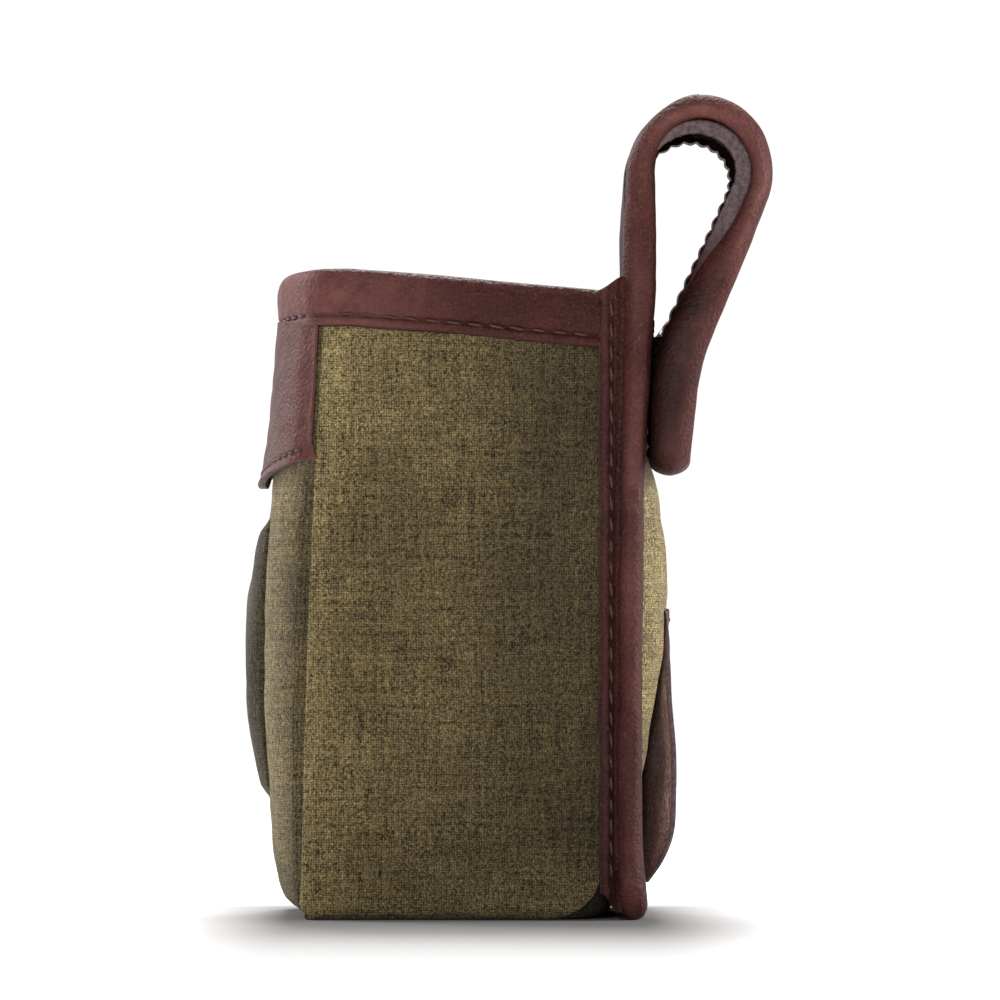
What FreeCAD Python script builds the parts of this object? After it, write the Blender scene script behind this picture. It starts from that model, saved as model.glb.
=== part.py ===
import FreeCAD, Part
import math
import os

# A belt pouch of waxed canvas with leather trim, in millimetres.
# +Y is the back, the side worn against the body, +Z is up, and X runs across the pouch.
# The shapes are drawn with y = 0 in the middle of the back panel's cloth. export() moves them
# along Y, so that the finished part's origin is at the bottom centre of the whole object.

# Driving dimensions
HALF_WIDTH = 42.0          # middle of the pouch to the outer face of a side panel
CANVAS = 1.6               # one panel of waxed canvas
BACK_CLOTH = 2.0           # the back panel and its tongue are two layers sewn together
LEATHER = 1.7
FIT = 0.03                 # play between a strip of leather and the cloth that it covers
YOKE_FIT = 0.15            # and between the yoke and the bowed front
SEAM_Y_BOTTOM = -73.7      # front corner seam at the floor
SEAM_Y_TOP = -68.3         # front corner seam at the mouth
SEAM_TOP_Z = 138.0
MOUTH_BACK_Z = 135.7       # the mouth rises from its back corners
MOUTH_FRONT_Z = 140.6      # to here
MOUTH_LEVEL_Y = -62.0      # and is level in front of this
RIM_HEIGHT = 12.0          # width of the leather over the mouth's edge
RIM_BACK_Y = -8.25         # the rim ends against the back binding
BOTTOM_BEND = 10.0         # radius at which the bottom panel turns up into the back seam
ROLL = 3.2                 # half the thickness of the bound back edge
ROLL_REACH = 4.0           # the rolled edge stands this far out from the cloth's edge
BACK_LEG = 6.0             # width of the back binding on the back panel
SIDE_LEG_Y = -8.2          # front edge of the back binding on the side panel
ROLL_FILLET = 2.4
FOOT_HEIGHT = 8.0          # height of the binding along the bottom edge
FOOT_CORNER = 7.0          # radius of the back's lower corners
TONGUE_ROOT_Z = 136.0
FOLD_Z = 160.9             # the tongue starts to turn over here
FOLD_RADIUS = 12.8
BENDS = (45.0, 135.0)      # degrees round the fold at which the cloth bends when it is opened
BEND_GAP = 0.35            # space between the stretches on each side of a bend
LEAN = 22.0                # degrees that the hanging leaf leans in towards the pouch
LEAF_SLOPE = 34.0          # length of the leaning stretch
LEAF_BEND = 40.0           # radius at which it turns down again
TAIL_LEAN = 6.0
TAIL_LENGTH = 14.0
LEAF_LEG = 11.0            # width of the leather along the tongue's edges
TAPE_HALF_WIDTH = 30.5
SOFT_TAPE = 2.8            # thickness of the looped tape on the back panel
SOFT_TAPE_Z = (107.0, 131.0)
HOOK_TAPE = 2.2            # thickness of the hooked tape on the leaf
HOOK_TAPE_Z = (111.8, 127.0)
YOKE_SIDE_Z = 99.5         # lower edge of the leather yoke at the corner seams
YOKE_MIDDLE_Z = 92.7       # and in the middle of the front
PLEAT_HALF_WIDTH = 21.0
POCKET_HALF_WIDTH = 28.0
POCKET_FULLNESS = 0.75     # how far the pocket's middle has risen towards its free edge
RIM_STAND_OFF = 0.65       # the rim's outer leather hangs this far outside the panels
ROUNDED_BACK_LEG = 0.5     # the roll is rounded over this width where it meets the back leg
SWELL_SHOULDER = (0.72, 0.62)  # across the swollen back: share of the half width, share of the swell
THREAD_RADIUS = 0.4
THREAD_LIFT = 0.1          # threads on a curved face are clear of it by this much
STITCH_PITCH = 4.6
STITCH_SHARE = 0.72        # share of the pitch that shows as thread
STITCH_INSET = 2.2         # from a leather edge to its row of stitches

# Tables of (height, value). How far the front panel stands forward of its corner seams:
FRONT_CROWN = (
    (0.0, 1.2), (6.0, 4.2), (21.0, 7.4), (44.0, 9.6), (62.0, 10.4), (92.0, 9.0), (124.0, 8.4), (138.0, 8.3),
)
# how far the pleat stands forward of the front panel:
PLEAT_CROWN = ((24.0, 0.5), (37.0, 2.6), (50.0, 4.0), (60.0, 4.2), (74.0, 3.0), (88.0, 0.5))
# how far the middle of the back panel swells out behind:
BACK_SWELL = (
    (3.4, 0.05), (9.0, 0.06), (20.0, 0.3), (34.0, 0.9), (50.0, 2.2),
    (66.0, 3.6), (80.0, 3.9), (90.0, 2.4), (100.0, 0.05),
)
# and the outer face of the rear pocket's free edge, where 0 is flat on the back panel:
POCKET_BOW = (
    (8.3, 0.0), (11.6, 4.6), (17.0, 6.9), (28.0, 8.2), (40.0, 7.9), (53.0, 7.2), (60.0, 6.3), (66.0, 0.0),
)

HALF_BACK = BACK_CLOTH / 2
EDGE_X = HALF_WIDTH + ROLL_REACH
INNER_X = HALF_WIDTH - CANVAS
REAR_MOST_Y = 2 * FOLD_RADIUS + ROLL
FRONT_MOST_Y = -85.3
ORIGIN_Y = (REAR_MOST_Y + FRONT_MOST_Y) / 2
FAR = 200.0                # larger than the object
TINY = 0.01


def vec(x, y, z):
    return FreeCAD.Vector(x, y, z)


def line(a, b):
    return Part.LineSegment(a, b).toShape()


def arc(a, b, c):
    return Part.Arc(a, b, c).toShape()


def outline(points):
    """Straight edges through the points, in order."""
    return [line(a, b) for a, b in zip(points, points[1:])]


def closed_face(edges):
    return Part.Face(Part.Wire(Part.__sortEdges__(edges)))


def mirrored(shape):
    return shape.mirror(vec(0, 0, 0), vec(1, 0, 0))


def table_value(table, z):
    """Value at height z, straight between the table's rows."""
    for (z0, v0), (z1, v1) in zip(table, table[1:]):
        if z <= z1:
            return v0 + (v1 - v0) * (z - z0) / (z1 - z0)
    return table[-1][1]


def seam_y(z):
    return SEAM_Y_BOTTOM + (SEAM_Y_TOP - SEAM_Y_BOTTOM) * z / SEAM_TOP_Z


def mouth_z(y):
    """Height of the rim's top edge."""
    share = (y - RIM_BACK_Y) / (MOUTH_LEVEL_Y - RIM_BACK_Y)
    return MOUTH_BACK_Z + (MOUTH_FRONT_Z - MOUTH_BACK_Z) * min(max(share, 0.0), 1.0)


def side_prism(points, x0, x1):
    """A closed outline of (y, z) points, extruded from x0 to x1."""
    places = [vec(x0, y, z) for y, z in points]
    return closed_face(outline(places + places[:1])).extrude(vec(x1 - x0, 0, 0))


def below_mouth(drop):
    """Everything below a surface that lies `drop` under the rim's top edge."""
    far_y = FRONT_MOST_Y - 10
    profile = [
        (FAR, -FAR),
        (FAR, MOUTH_BACK_Z - drop),
        (RIM_BACK_Y, MOUTH_BACK_Z - drop),
        (MOUTH_LEVEL_Y, MOUTH_FRONT_Z - drop),
        (far_y, MOUTH_FRONT_Z - drop),
        (far_y, -FAR),
    ]
    return side_prism(profile, -FAR, FAR)


# The body of the pouch

def bow(z, half, y_outer, rise_outer, y_inner, rise_inner):
    """Level section of a panel that bows forward: two arcs with straight ends."""
    outer = arc(vec(-half, y_outer, z), vec(0, y_outer - rise_outer, z), vec(half, y_outer, z))
    inner = arc(vec(half, y_inner, z), vec(0, y_inner - rise_inner, z), vec(-half, y_inner, z))
    right = line(vec(half, y_outer, z), vec(half, y_inner, z))
    left = line(vec(-half, y_inner, z), vec(-half, y_outer, z))
    return Part.Wire([outer, right, inner, left])


def front_shell(low, high, near, far):
    """Bowed shell from `near` to `far` in front of the front panel's outer face."""
    levels = [low] + [z for z, _ in FRONT_CROWN if low < z < high] + [high]
    sections = []
    for z in levels:
        crown = table_value(FRONT_CROWN, z)
        sections.append(bow(z, HALF_WIDTH, seam_y(z) - far, crown, seam_y(z) - near, crown))
    return Part.makeLoft(sections, True, False)


def front_panel():
    return front_shell(0.0, SEAM_TOP_Z, -CANVAS, 0.0)


def side_panel(front):
    """The right side, with its lower back corner rounded to follow the bottom panel."""
    back = -HALF_BACK
    top = MOUTH_FRONT_Z
    low_front = vec(INNER_X, seam_y(0) + CANVAS, 0)
    half_turn = BOTTOM_BEND * (1 - math.sqrt(0.5))
    corner = [
        vec(INNER_X, back, BOTTOM_BEND),
        vec(INNER_X, back - half_turn, half_turn),
        vec(INNER_X, back - BOTTOM_BEND, 0),
    ]
    high_front = vec(INNER_X, seam_y(top) + CANVAS, top)
    straight = [corner[2], low_front, high_front, vec(INNER_X, back, top), corner[0]]
    plate = closed_face(outline(straight) + [arc(*corner)]).extrude(vec(CANVAS, 0, 0))
    return plate.common(below_mouth(LEATHER)).cut(front)


def bottom_panel(front):
    """Floor of the pouch. Its back edge turns up and is sewn to the back panel."""
    front_y = seam_y(0) + CANVAS / 8
    start = (front_y, CANVAS / 2)
    run = -HALF_BACK - BOTTOM_BEND - front_y
    moves = [("line", run), ("arc", BOTTOM_BEND - CANVAS / 2, 90)]
    return band(start, 0, moves, CANVAS / 2, -CANVAS / 2, INNER_X).cut(front)


def swollen_section(z, swell):
    """Level section of the back panel: flat margins with a crowned middle."""
    shoulder = HALF_WIDTH - BACK_LEG
    place, share = SWELL_SHOULDER
    across = (-1, -place, 0, place, 1)
    lift = (0, share, 1, share, 0)
    edges = []
    for y in (HALF_BACK, -HALF_BACK):
        crown = Part.BSplineCurve()
        crown.interpolate([vec(shoulder * a, y + swell * b, z) for a, b in zip(across, lift)])
        edges.append(crown.toShape())
    for side in (-1, 1):
        inner, outer = side * shoulder, side * HALF_WIDTH
        edges.append(line(vec(inner, HALF_BACK, z), vec(outer, HALF_BACK, z)))
        edges.append(line(vec(outer, HALF_BACK, z), vec(outer, -HALF_BACK, z)))
        edges.append(line(vec(outer, -HALF_BACK, z), vec(inner, -HALF_BACK, z)))
    return Part.Wire(Part.__sortEdges__(edges))


def back_panel():
    """Back of the pouch and the front leaf of its tongue, one piece of cloth."""
    swollen = Part.makeLoft([swollen_section(z, swell) for z, swell in BACK_SWELL], True, False)
    top = BACK_SWELL[-1][0]
    moves = [("line", FOLD_Z - top), ("arc", FOLD_RADIUS, -(BENDS[0] - bend_gap_turn()))]
    flat = band((0, top), 90, moves, HALF_BACK, -HALF_BACK, HALF_WIDTH)
    return swollen.fuse(flat).removeSplitter()


def front_yoke():
    """Leather across the top of the front. Its lower edge drops towards the middle."""
    shell = front_shell(YOKE_MIDDLE_Z - LEATHER, MOUTH_FRONT_Z - RIM_HEIGHT - FIT, YOKE_FIT, LEATHER)
    x = HALF_WIDTH
    low = arc(vec(-x, 0, YOKE_SIDE_Z), vec(0, 0, YOKE_MIDDLE_Z), vec(x, 0, YOKE_SIDE_Z))
    rest = outline([vec(x, 0, YOKE_SIDE_Z), vec(x, 0, FAR), vec(-x, 0, FAR), vec(-x, 0, YOKE_SIDE_Z)])
    return shell.common(closed_face([low] + rest).extrude(vec(0, -FAR, 0)))


def front_pleat(front):
    """Raised pleat in the middle of the front, deepest at half its height."""
    share = (PLEAT_HALF_WIDTH / HALF_WIDTH) ** 2
    sections = []
    for z, rise in PLEAT_CROWN:
        crown = table_value(FRONT_CROWN, z)
        y = seam_y(z) - crown * (1 - share)
        under = crown * share
        sections.append(bow(z, PLEAT_HALF_WIDTH, y - FIT, under + rise, y + CANVAS / 2, under))
    return Part.makeLoft(sections, True, False).cut(front)


def mouth_block(grow, low, high):
    """Block with the mouth's outline, `grow` outside the panels' outer faces."""
    x = HALF_WIDTH + grow
    corner_y = seam_y(SEAM_TOP_Z) - grow
    crest_y = corner_y - FRONT_CROWN[-1][1]
    corners = ((-x, corner_y), (-x, RIM_BACK_Y), (x, RIM_BACK_Y), (x, corner_y))
    straight = [vec(px, py, low) for px, py in corners]
    front = arc(straight[-1], vec(0, crest_y, low), straight[0])
    return closed_face(outline(straight) + [front]).extrude(vec(0, 0, high - low))


def mouth_ring(outside, inside):
    """Wall that follows the mouth, from `inside` within the panels' outer faces to `outside` of them."""
    low = MOUTH_BACK_Z - 2 * RIM_HEIGHT
    high = MOUTH_FRONT_Z + RIM_HEIGHT
    return mouth_block(outside, low, high).cut(mouth_block(-inside, low, high))


def rim_binding():
    """Leather folded over the mouth's edge, from one back corner round the front to the other."""
    ring = mouth_ring(LEATHER + RIM_STAND_OFF, CANVAS + LEATHER)
    panels = mouth_ring(RIM_STAND_OFF, CANVAS + FIT).common(below_mouth(LEATHER - FIT))
    return ring.common(below_mouth(0.0)).cut(below_mouth(RIM_HEIGHT)).cut(panels)


def pocket_places(z):
    """Outer face of the rear pocket at its sewn edge, its middle and its free edge."""
    swell = table_value(BACK_SWELL, z)
    on_cloth = HALF_BACK + LEATHER + FIT
    sewn_y = on_cloth + swell / 2
    free_y = max(table_value(POCKET_BOW, z), sewn_y)
    middle_y = max(sewn_y + POCKET_FULLNESS * (free_y - sewn_y), on_cloth + swell)
    return sewn_y, middle_y, free_y


def pocket_section(z):
    """Level section of the rear pocket, sewn down at -X and standing off at +X."""
    half = POCKET_HALF_WIDTH
    sewn_y, middle_y, free_y = pocket_places(z)
    edges = []
    for drop in (0, LEATHER):
        across = Part.BSplineCurve()
        faces = ((-half, sewn_y), (0, middle_y), (half, free_y))
        across.interpolate([vec(x, y - drop, z) for x, y in faces])
        edges.append(across.toShape())
    for side, y in ((-half, sewn_y), (half, free_y)):
        edges.append(line(vec(side, y, z), vec(side, y - LEATHER, z)))
    return Part.Wire(Part.__sortEdges__(edges))


def rear_pocket(back):
    """Leather slip pocket on the back, sewn at the top, the bottom and one side."""
    return Part.makeLoft([pocket_section(z) for z, _ in POCKET_BOW], True, False).cut(back)


# The tongue, which turns over backwards into a belt loop

def turtle(start, heading, moves, offset):
    """Edges of a path in the YZ plane, drawn `offset` to the left of it.

    The start is (y, z), and the heading is in degrees from +Y towards +Z. A move is
    ("line", length) or ("arc", radius, turn), where a positive turn is to the left.
    """
    y, z = start
    angle = math.radians(heading)
    edges = []

    def beside(y, z, angle):
        return vec(0, y - offset * math.sin(angle), z + offset * math.cos(angle))

    for move in moves:
        places = [beside(y, z, angle)]
        if move[0] == "line":
            y += move[1] * math.cos(angle)
            z += move[1] * math.sin(angle)
            places.append(beside(y, z, angle))
            edges.append(line(*places))
            continue
        turn = math.radians(move[2])
        reach = math.copysign(move[1], turn)
        centre_y = y - reach * math.sin(angle)
        centre_z = z + reach * math.cos(angle)
        for _ in range(2):
            angle += turn / 2
            y = centre_y + reach * math.sin(angle)
            z = centre_z - reach * math.cos(angle)
            places.append(beside(y, z, angle))
        edges.append(arc(*places))
    return edges


def band(start, heading, moves, left, right, half):
    """The strip between two offsets of a path, reaching `half` to each side of the middle."""
    runs = [turtle(start, heading, moves, offset) for offset in (left, right)]
    wires = [Part.Wire(run) for run in runs]
    first = [wire.OrderedVertexes[0].Point for wire in wires]
    last = [wire.OrderedVertexes[-1].Point for wire in wires]
    strip = closed_face(runs[0] + runs[1] + [line(*first), line(*last)]).extrude(vec(2 * half, 0, 0))
    strip.translate(vec(-half, 0, 0))
    return strip


def bend_gap_turn():
    """Half the gap at a bend, as an angle at the fold's outer face."""
    return math.degrees(BEND_GAP / 2 / (FOLD_RADIUS + ROLL))


def fold_start(turn):
    """Where the path is, and its heading, after `turn` degrees of the fold."""
    a = math.radians(turn)
    return (FOLD_RADIUS * (1 - math.cos(a)), FOLD_Z + FOLD_RADIUS * math.sin(a)), 90 - turn


def front_leaf_run():
    """The tongue from its root to the first bend, as (start, heading, moves)."""
    moves = [("line", FOLD_Z - TONGUE_ROOT_Z), ("arc", FOLD_RADIUS, -(BENDS[0] - bend_gap_turn()))]
    return (0, TONGUE_ROOT_Z), 90, moves


def fold_run():
    """The top of the fold, between the two bends."""
    start, heading = fold_start(BENDS[0] + bend_gap_turn())
    turn = BENDS[1] - BENDS[0] - 2 * bend_gap_turn()
    return start, heading, [("arc", FOLD_RADIUS, -turn)]


def flap_run(tail):
    """From the second bend to the tail's end, and `tail` beyond it."""
    start, heading = fold_start(BENDS[1] + bend_gap_turn())
    moves = [
        ("arc", FOLD_RADIUS, -(180 - BENDS[1] - bend_gap_turn() + LEAN)),
        ("line", LEAF_SLOPE),
        ("arc", LEAF_BEND, LEAN - TAIL_LEAN),
        ("line", TAIL_LENGTH + tail),
    ]
    return start, heading, moves


def rolled_edges(solid):
    """Rounds the long edges on the two sides of a tongue-wide strip."""
    long_edges = []
    for e in solid.Edges:
        on_side = abs(abs(e.BoundBox.XMin) - EDGE_X) < TINY and e.BoundBox.XLength < TINY
        if on_side and e.Length > 2 * ROLL + TINY:
            long_edges.append(e)
    return solid.makeFillet(ROLL_FILLET, long_edges)


def leather_over(run, core_run):
    """Leather of the rolled edge's thickness over a run of the tongue, with the cloth's space cut out."""
    sleeve = rolled_edges(band(*run, ROLL, -ROLL, EDGE_X))
    return sleeve.cut(band(*core_run, HALF_BACK + FIT, -HALF_BACK - FIT, HALF_WIDTH + FIT))


def right_edge(sleeve):
    """The part of a sleeve along the tongue's right edge."""
    return sleeve.common(Part.makeBox(FAR, FAR, FAR, vec(HALF_WIDTH - LEAF_LEG, -FAR / 2, 0)))


def fold_cloth():
    return band(*fold_run(), HALF_BACK, -HALF_BACK, HALF_WIDTH)


def fold_binding():
    return right_edge(leather_over(fold_run(), fold_run()))


def flap_cloth():
    return band(*flap_run(0), HALF_BACK, -HALF_BACK, HALF_WIDTH)


def flap_binding():
    """Leather folded over the leaf's two edges and round its tail."""
    sleeve = leather_over(flap_run(ROLL_REACH), flap_run(FIT))
    window = band(*flap_run(-LEAF_LEG), 2 * ROLL, -2 * ROLL, HALF_WIDTH - LEAF_LEG)
    return sleeve.cut(window)


def binding_side():
    """Leather over the right back corner, and over the right edge of the front leaf above it."""
    leg_x = HALF_WIDTH + LEATHER
    face_x = HALF_WIDTH + FIT
    face_y = HALF_BACK + FIT
    back_x = HALF_WIDTH - BACK_LEG
    low = FOOT_HEIGHT
    roll = [vec(leg_x, -ROLL, low), vec(EDGE_X, 0, low), vec(leg_x - ROUNDED_BACK_LEG, ROLL, low)]
    legs = [
        roll[2],
        vec(back_x, face_y + LEATHER, low),
        vec(back_x, face_y, low),
        vec(face_x, face_y, low),
        vec(face_x, SIDE_LEG_Y, low),
        vec(leg_x, SIDE_LEG_Y, low),
        roll[0],
    ]
    corner = closed_face(outline(legs) + [arc(*roll)]).extrude(vec(0, 0, TONGUE_ROOT_Z - low))
    return corner.fuse(right_edge(leather_over(front_leaf_run(), front_leaf_run()))).removeSplitter()


def binding_bottom():
    """Leather over the bottom edge of the back, outside the bottom panel's bend."""
    front = -HALF_BACK - CANVAS - LEATHER
    rear = HALF_BACK + FIT + LEATHER
    bar = Part.makeBox(2 * EDGE_X, rear - front, FOOT_HEIGHT, vec(-EDGE_X, front, 0))
    corners = [e for e in bar.Edges if e.BoundBox.ZMax < TINY and e.BoundBox.XLength < TINY]
    bar = bar.makeFillet(FOOT_CORNER, corners)
    under = [e for e in bar.Edges if e.BoundBox.ZMax < TINY and e.BoundBox.YLength < TINY]
    bar = bar.makeFillet(ROLL_FILLET, under)
    slot = Part.makeBox(
        2 * (HALF_WIDTH + FIT), BACK_CLOTH + 2 * FIT, FOOT_HEIGHT,
        vec(-HALF_WIDTH - FIT, -HALF_BACK - FIT, BACK_SWELL[0][0] - FIT),
    )
    centre = vec(-FAR, -HALF_BACK - BOTTOM_BEND, BOTTOM_BEND)
    inside_bend = Part.makeCylinder(BOTTOM_BEND + FIT, 2 * FAR, centre, vec(1, 0, 0))
    return bar.cut(slot).cut(inside_bend)


# Hook-and-loop closure

def soft_tape():
    """Looped tape on the back panel, under the hanging leaf."""
    low, high = SOFT_TAPE_Z
    corner = vec(-TAPE_HALF_WIDTH, HALF_BACK + FIT, low)
    return Part.makeBox(2 * TAPE_HALF_WIDTH, SOFT_TAPE, high - low, corner)


def hook_tape():
    """Hooked tape on the inner face of the hanging leaf."""
    low, high = HOOK_TAPE_Z
    strip = band(*flap_run(0), -HALF_BACK - FIT, -HALF_BACK - FIT - HOOK_TAPE, TAPE_HALF_WIDTH)
    return strip.common(Part.makeBox(FAR, FAR, high - low, vec(-FAR / 2, -FAR / 2, low)))


# Thread, as one short bar for each stitch that shows

def stitches(path, lift=vec(0, 0, 0)):
    """Bars of thread along a wire, moved by `lift`."""
    count = max(2, round(path.Length / STITCH_PITCH))
    ends = path.discretize(count + 1)
    bars = []
    for a, b in zip(ends, ends[1:]):
        along = (b - a) * STITCH_SHARE
        start = a + (b - a) * (1 - STITCH_SHARE) / 2 + lift
        bars.append(Part.makeCylinder(THREAD_RADIUS, along.Length, start, along))
    return Part.makeCompound(bars)


def rim_stitches():
    """One row round the rim, just above its lower edge."""
    out = LEATHER + RIM_STAND_OFF + THREAD_RADIUS
    x = HALF_WIDTH + out
    drop = RIM_HEIGHT - STITCH_INSET
    corner_y = seam_y(SEAM_TOP_Z) - out
    back_y = RIM_BACK_Y - LEATHER
    back = vec(x, back_y, mouth_z(back_y) - drop)
    rise = vec(x, MOUTH_LEVEL_Y, MOUTH_FRONT_Z - drop)
    corner = vec(x, corner_y, MOUTH_FRONT_Z - drop)
    crest = vec(0, corner_y - FRONT_CROWN[-1][1], MOUTH_FRONT_Z - drop)
    side = [back, rise, corner]
    other = [vec(-p.x, p.y, p.z) for p in side]
    rows = [stitches(Part.Wire(outline(points))) for points in (side, other)]
    rows.append(stitches(Part.Wire([arc(corner, crest, other[-1])]), vec(0, -THREAD_LIFT, 0)))
    return Part.makeCompound(rows)


def binding_stitches():
    """One row down the right side leg of the back binding."""
    x = HALF_WIDTH + LEATHER + THREAD_RADIUS
    y = SIDE_LEG_Y + STITCH_INSET
    top = vec(x, y, TONGUE_ROOT_Z - STITCH_INSET)
    foot = vec(x, y, FOOT_HEIGHT + STITCH_INSET)
    return stitches(Part.Wire([line(top, foot)]))


def yoke_stitches():
    """One row along the yoke's lower edge."""
    half = HALF_WIDTH - LEATHER
    count = round(2 * half / STITCH_PITCH)
    places = []
    for i in range(count + 1):
        x = half * (2 * i / count - 1)
        share = (x / HALF_WIDTH) ** 2
        z = YOKE_MIDDLE_Z + (YOKE_SIDE_Z - YOKE_MIDDLE_Z) * share + STITCH_INSET
        crown = table_value(FRONT_CROWN, z) * (1 - share)
        places.append(vec(x, seam_y(z) - crown - LEATHER - THREAD_RADIUS, z))
    return stitches(Part.Wire(outline(places)), vec(0, -THREAD_LIFT, 0))


def pocket_stitches():
    """Rows down the rear pocket's closed side and along its top."""
    inset = POCKET_HALF_WIDTH - STITCH_INSET
    low_z = POCKET_BOW[0][0] + STITCH_INSET
    top_z = POCKET_BOW[-1][0] - STITCH_INSET
    heights = [low_z + (top_z - low_z) * i / 6 for i in range(7)]
    side = [vec(-inset, pocket_face_y(-inset, z), z) for z in heights]
    top = [vec(x, pocket_face_y(x, top_z), top_z) for x in (-inset, -inset / 2, 0, inset / 2)]
    lift = vec(0, THREAD_RADIUS + 3 * THREAD_LIFT, 0)
    return Part.makeCompound([stitches(Part.Wire(outline(points)), lift) for points in (side, top)])


def pocket_face_y(x, z):
    """Outer face of the rear pocket, from the parabola through its three places across."""
    sewn_y, middle_y, free_y = pocket_places(z)
    t = x / POCKET_HALF_WIDTH
    return middle_y + t * (free_y - sewn_y) / 2 + t * t * ((free_y + sewn_y) / 2 - middle_y)


def flap_stitches():
    """Rows on the outer face of the leaf, inside the edges of its leather."""
    x = HALF_WIDTH - LEAF_LEG + STITCH_INSET
    run = flap_run(-LEAF_LEG + STITCH_INSET)
    dip = STITCH_PITCH ** 2 / (8 * (FOLD_RADIUS + ROLL))   # of a straight stitch, below the fold's curve
    path = Part.Wire(turtle(*run, ROLL + THREAD_RADIUS + dip + THREAD_LIFT))
    rows = [stitches(path, vec(side * x, 0, 0)) for side in (-1, 1)]
    end = path.OrderedVertexes[-1].Point
    across = line(vec(STITCH_INSET - x, end.y, end.z), vec(x - STITCH_INSET, end.y, end.z))
    rows.append(stitches(Part.Wire([across])))
    return Part.makeCompound(rows)


def soft_tape_stitches():
    """Rows along the looped tape's top and bottom edges."""
    y = HALF_BACK + FIT + SOFT_TAPE + THREAD_RADIUS
    half = TAPE_HALF_WIDTH - STITCH_INSET
    levels = (SOFT_TAPE_Z[0] + STITCH_INSET / 2, SOFT_TAPE_Z[1] - STITCH_INSET / 2)
    rows = [stitches(Part.Wire([line(vec(-half, y, z), vec(half, y, z))])) for z in levels]
    return Part.makeCompound(rows)


def pouch():
    """Every node of the part, by name."""
    front = front_panel()
    back = back_panel()
    side = side_panel(front)
    bottom = bottom_panel(front)
    pocket = rear_pocket(back)
    corner = binding_side()
    return {
        "front_panel": front,
        "side_panel_right": side,
        "side_panel_left": mirrored(side),
        "bottom_panel": bottom,
        "back_panel": back,
        "front_pleat": front_pleat(front),
        "front_yoke": front_yoke(),
        "rim_binding": rim_binding(),
        "rear_pocket": pocket,
        "binding_right": corner,
        "binding_left": mirrored(corner),
        "binding_bottom": binding_bottom(),
        "soft_tape": soft_tape(),
        "fold_cloth": fold_cloth(),
        "fold_binding_right": fold_binding(),
        "fold_binding_left": mirrored(fold_binding()),
        "flap_cloth": flap_cloth(),
        "flap_binding": flap_binding(),
        "hook_tape": hook_tape(),
        "rim_stitches": rim_stitches(),
        "binding_stitches_right": binding_stitches(),
        "binding_stitches_left": mirrored(binding_stitches()),
        "yoke_stitches": yoke_stitches(),
        "pocket_stitches": pocket_stitches(),
        "flap_stitches": flap_stitches(),
        "soft_tape_stitches": soft_tape_stitches(),
    }


def export(nodes):
    os.makedirs("parts", exist_ok=True)
    for name, shape in nodes.items():
        shape.translate(vec(0, -ORIGIN_Y, 0))
        shape.exportStep(os.path.join("parts", name + ".step"))
        box = shape.optimalBoundingBox(False)
        spans = ((box.XMin, box.XMax), (box.YMin, box.YMax), (box.ZMin, box.ZMax))
        spans = "  ".join(f"{low:6.1f} {high:6.1f}" for low, high in spans)
        print(f"{name:24s} solids {len(shape.Solids):3d}  valid {shape.isValid()}  {spans}")


export(pouch())
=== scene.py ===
import math

import bpy
import numpy as np
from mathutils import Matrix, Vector


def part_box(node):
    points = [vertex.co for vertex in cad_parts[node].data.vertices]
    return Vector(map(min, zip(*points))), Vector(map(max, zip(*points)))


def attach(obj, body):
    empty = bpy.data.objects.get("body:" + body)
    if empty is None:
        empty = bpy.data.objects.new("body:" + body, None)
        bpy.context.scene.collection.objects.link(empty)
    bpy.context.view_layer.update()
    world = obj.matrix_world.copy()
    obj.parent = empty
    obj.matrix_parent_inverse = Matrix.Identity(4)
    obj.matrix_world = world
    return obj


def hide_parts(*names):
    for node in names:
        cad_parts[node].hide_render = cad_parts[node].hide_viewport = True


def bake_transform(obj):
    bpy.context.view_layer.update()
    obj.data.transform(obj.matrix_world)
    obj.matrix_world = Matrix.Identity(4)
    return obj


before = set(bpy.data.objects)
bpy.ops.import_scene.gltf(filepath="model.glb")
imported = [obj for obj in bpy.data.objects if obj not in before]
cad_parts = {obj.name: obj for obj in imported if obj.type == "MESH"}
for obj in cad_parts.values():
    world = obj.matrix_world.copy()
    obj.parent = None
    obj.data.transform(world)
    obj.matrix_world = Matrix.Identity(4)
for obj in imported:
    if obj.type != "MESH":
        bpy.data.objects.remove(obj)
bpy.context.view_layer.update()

# Lengths are in millimetres until mesh() turns them into metres. x runs across the pouch, y is measured
# from the middle of the back panel's cloth as the CAD model has it (+y is behind), and z is up.
MM = 0.001
HALF_CLOTH = 1.0
CANVAS = 1.6
LEATHER = 1.7


def corner(node, high):
    """Lowest or highest corner of a CAD node, in millimetres."""
    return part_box(node)[high] / MM


# Sizes taken from the frame
BACK_Y = corner("back_panel", 0).y + HALF_CLOTH
HALF_WIDTH = corner("front_panel", 1).x
ROLL_REACH = corner("binding_right", 1).x - HALF_WIDTH
ROLL = corner("fold_binding_right", 1).z - corner("fold_cloth", 1).z + HALF_CLOTH
FOLD_RADIUS = (corner("flap_binding", 1).y - BACK_Y - ROLL) / 2
FOLD_Z = corner("fold_binding_right", 1).z - ROLL - FOLD_RADIUS
MOUTH_Z = corner("rim_binding", 1).z
RIM_BACK_Y = corner("rim_binding", 1).y - BACK_Y
POCKET_HALF = corner("rear_pocket", 1).x
POCKET_LOW = corner("rear_pocket", 0).z
POCKET_TOP = corner("rear_pocket", 1).z
TAPE_HALF = corner("soft_tape", 1).x
TAPE_LOW = corner("soft_tape", 0).z
TAPE_TOP = corner("soft_tape", 1).z
HOOK_LOW = corner("hook_tape", 0).z
HOOK_TOP = corner("hook_tape", 1).z
PLEAT_HALF = corner("front_pleat", 1).x
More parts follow.
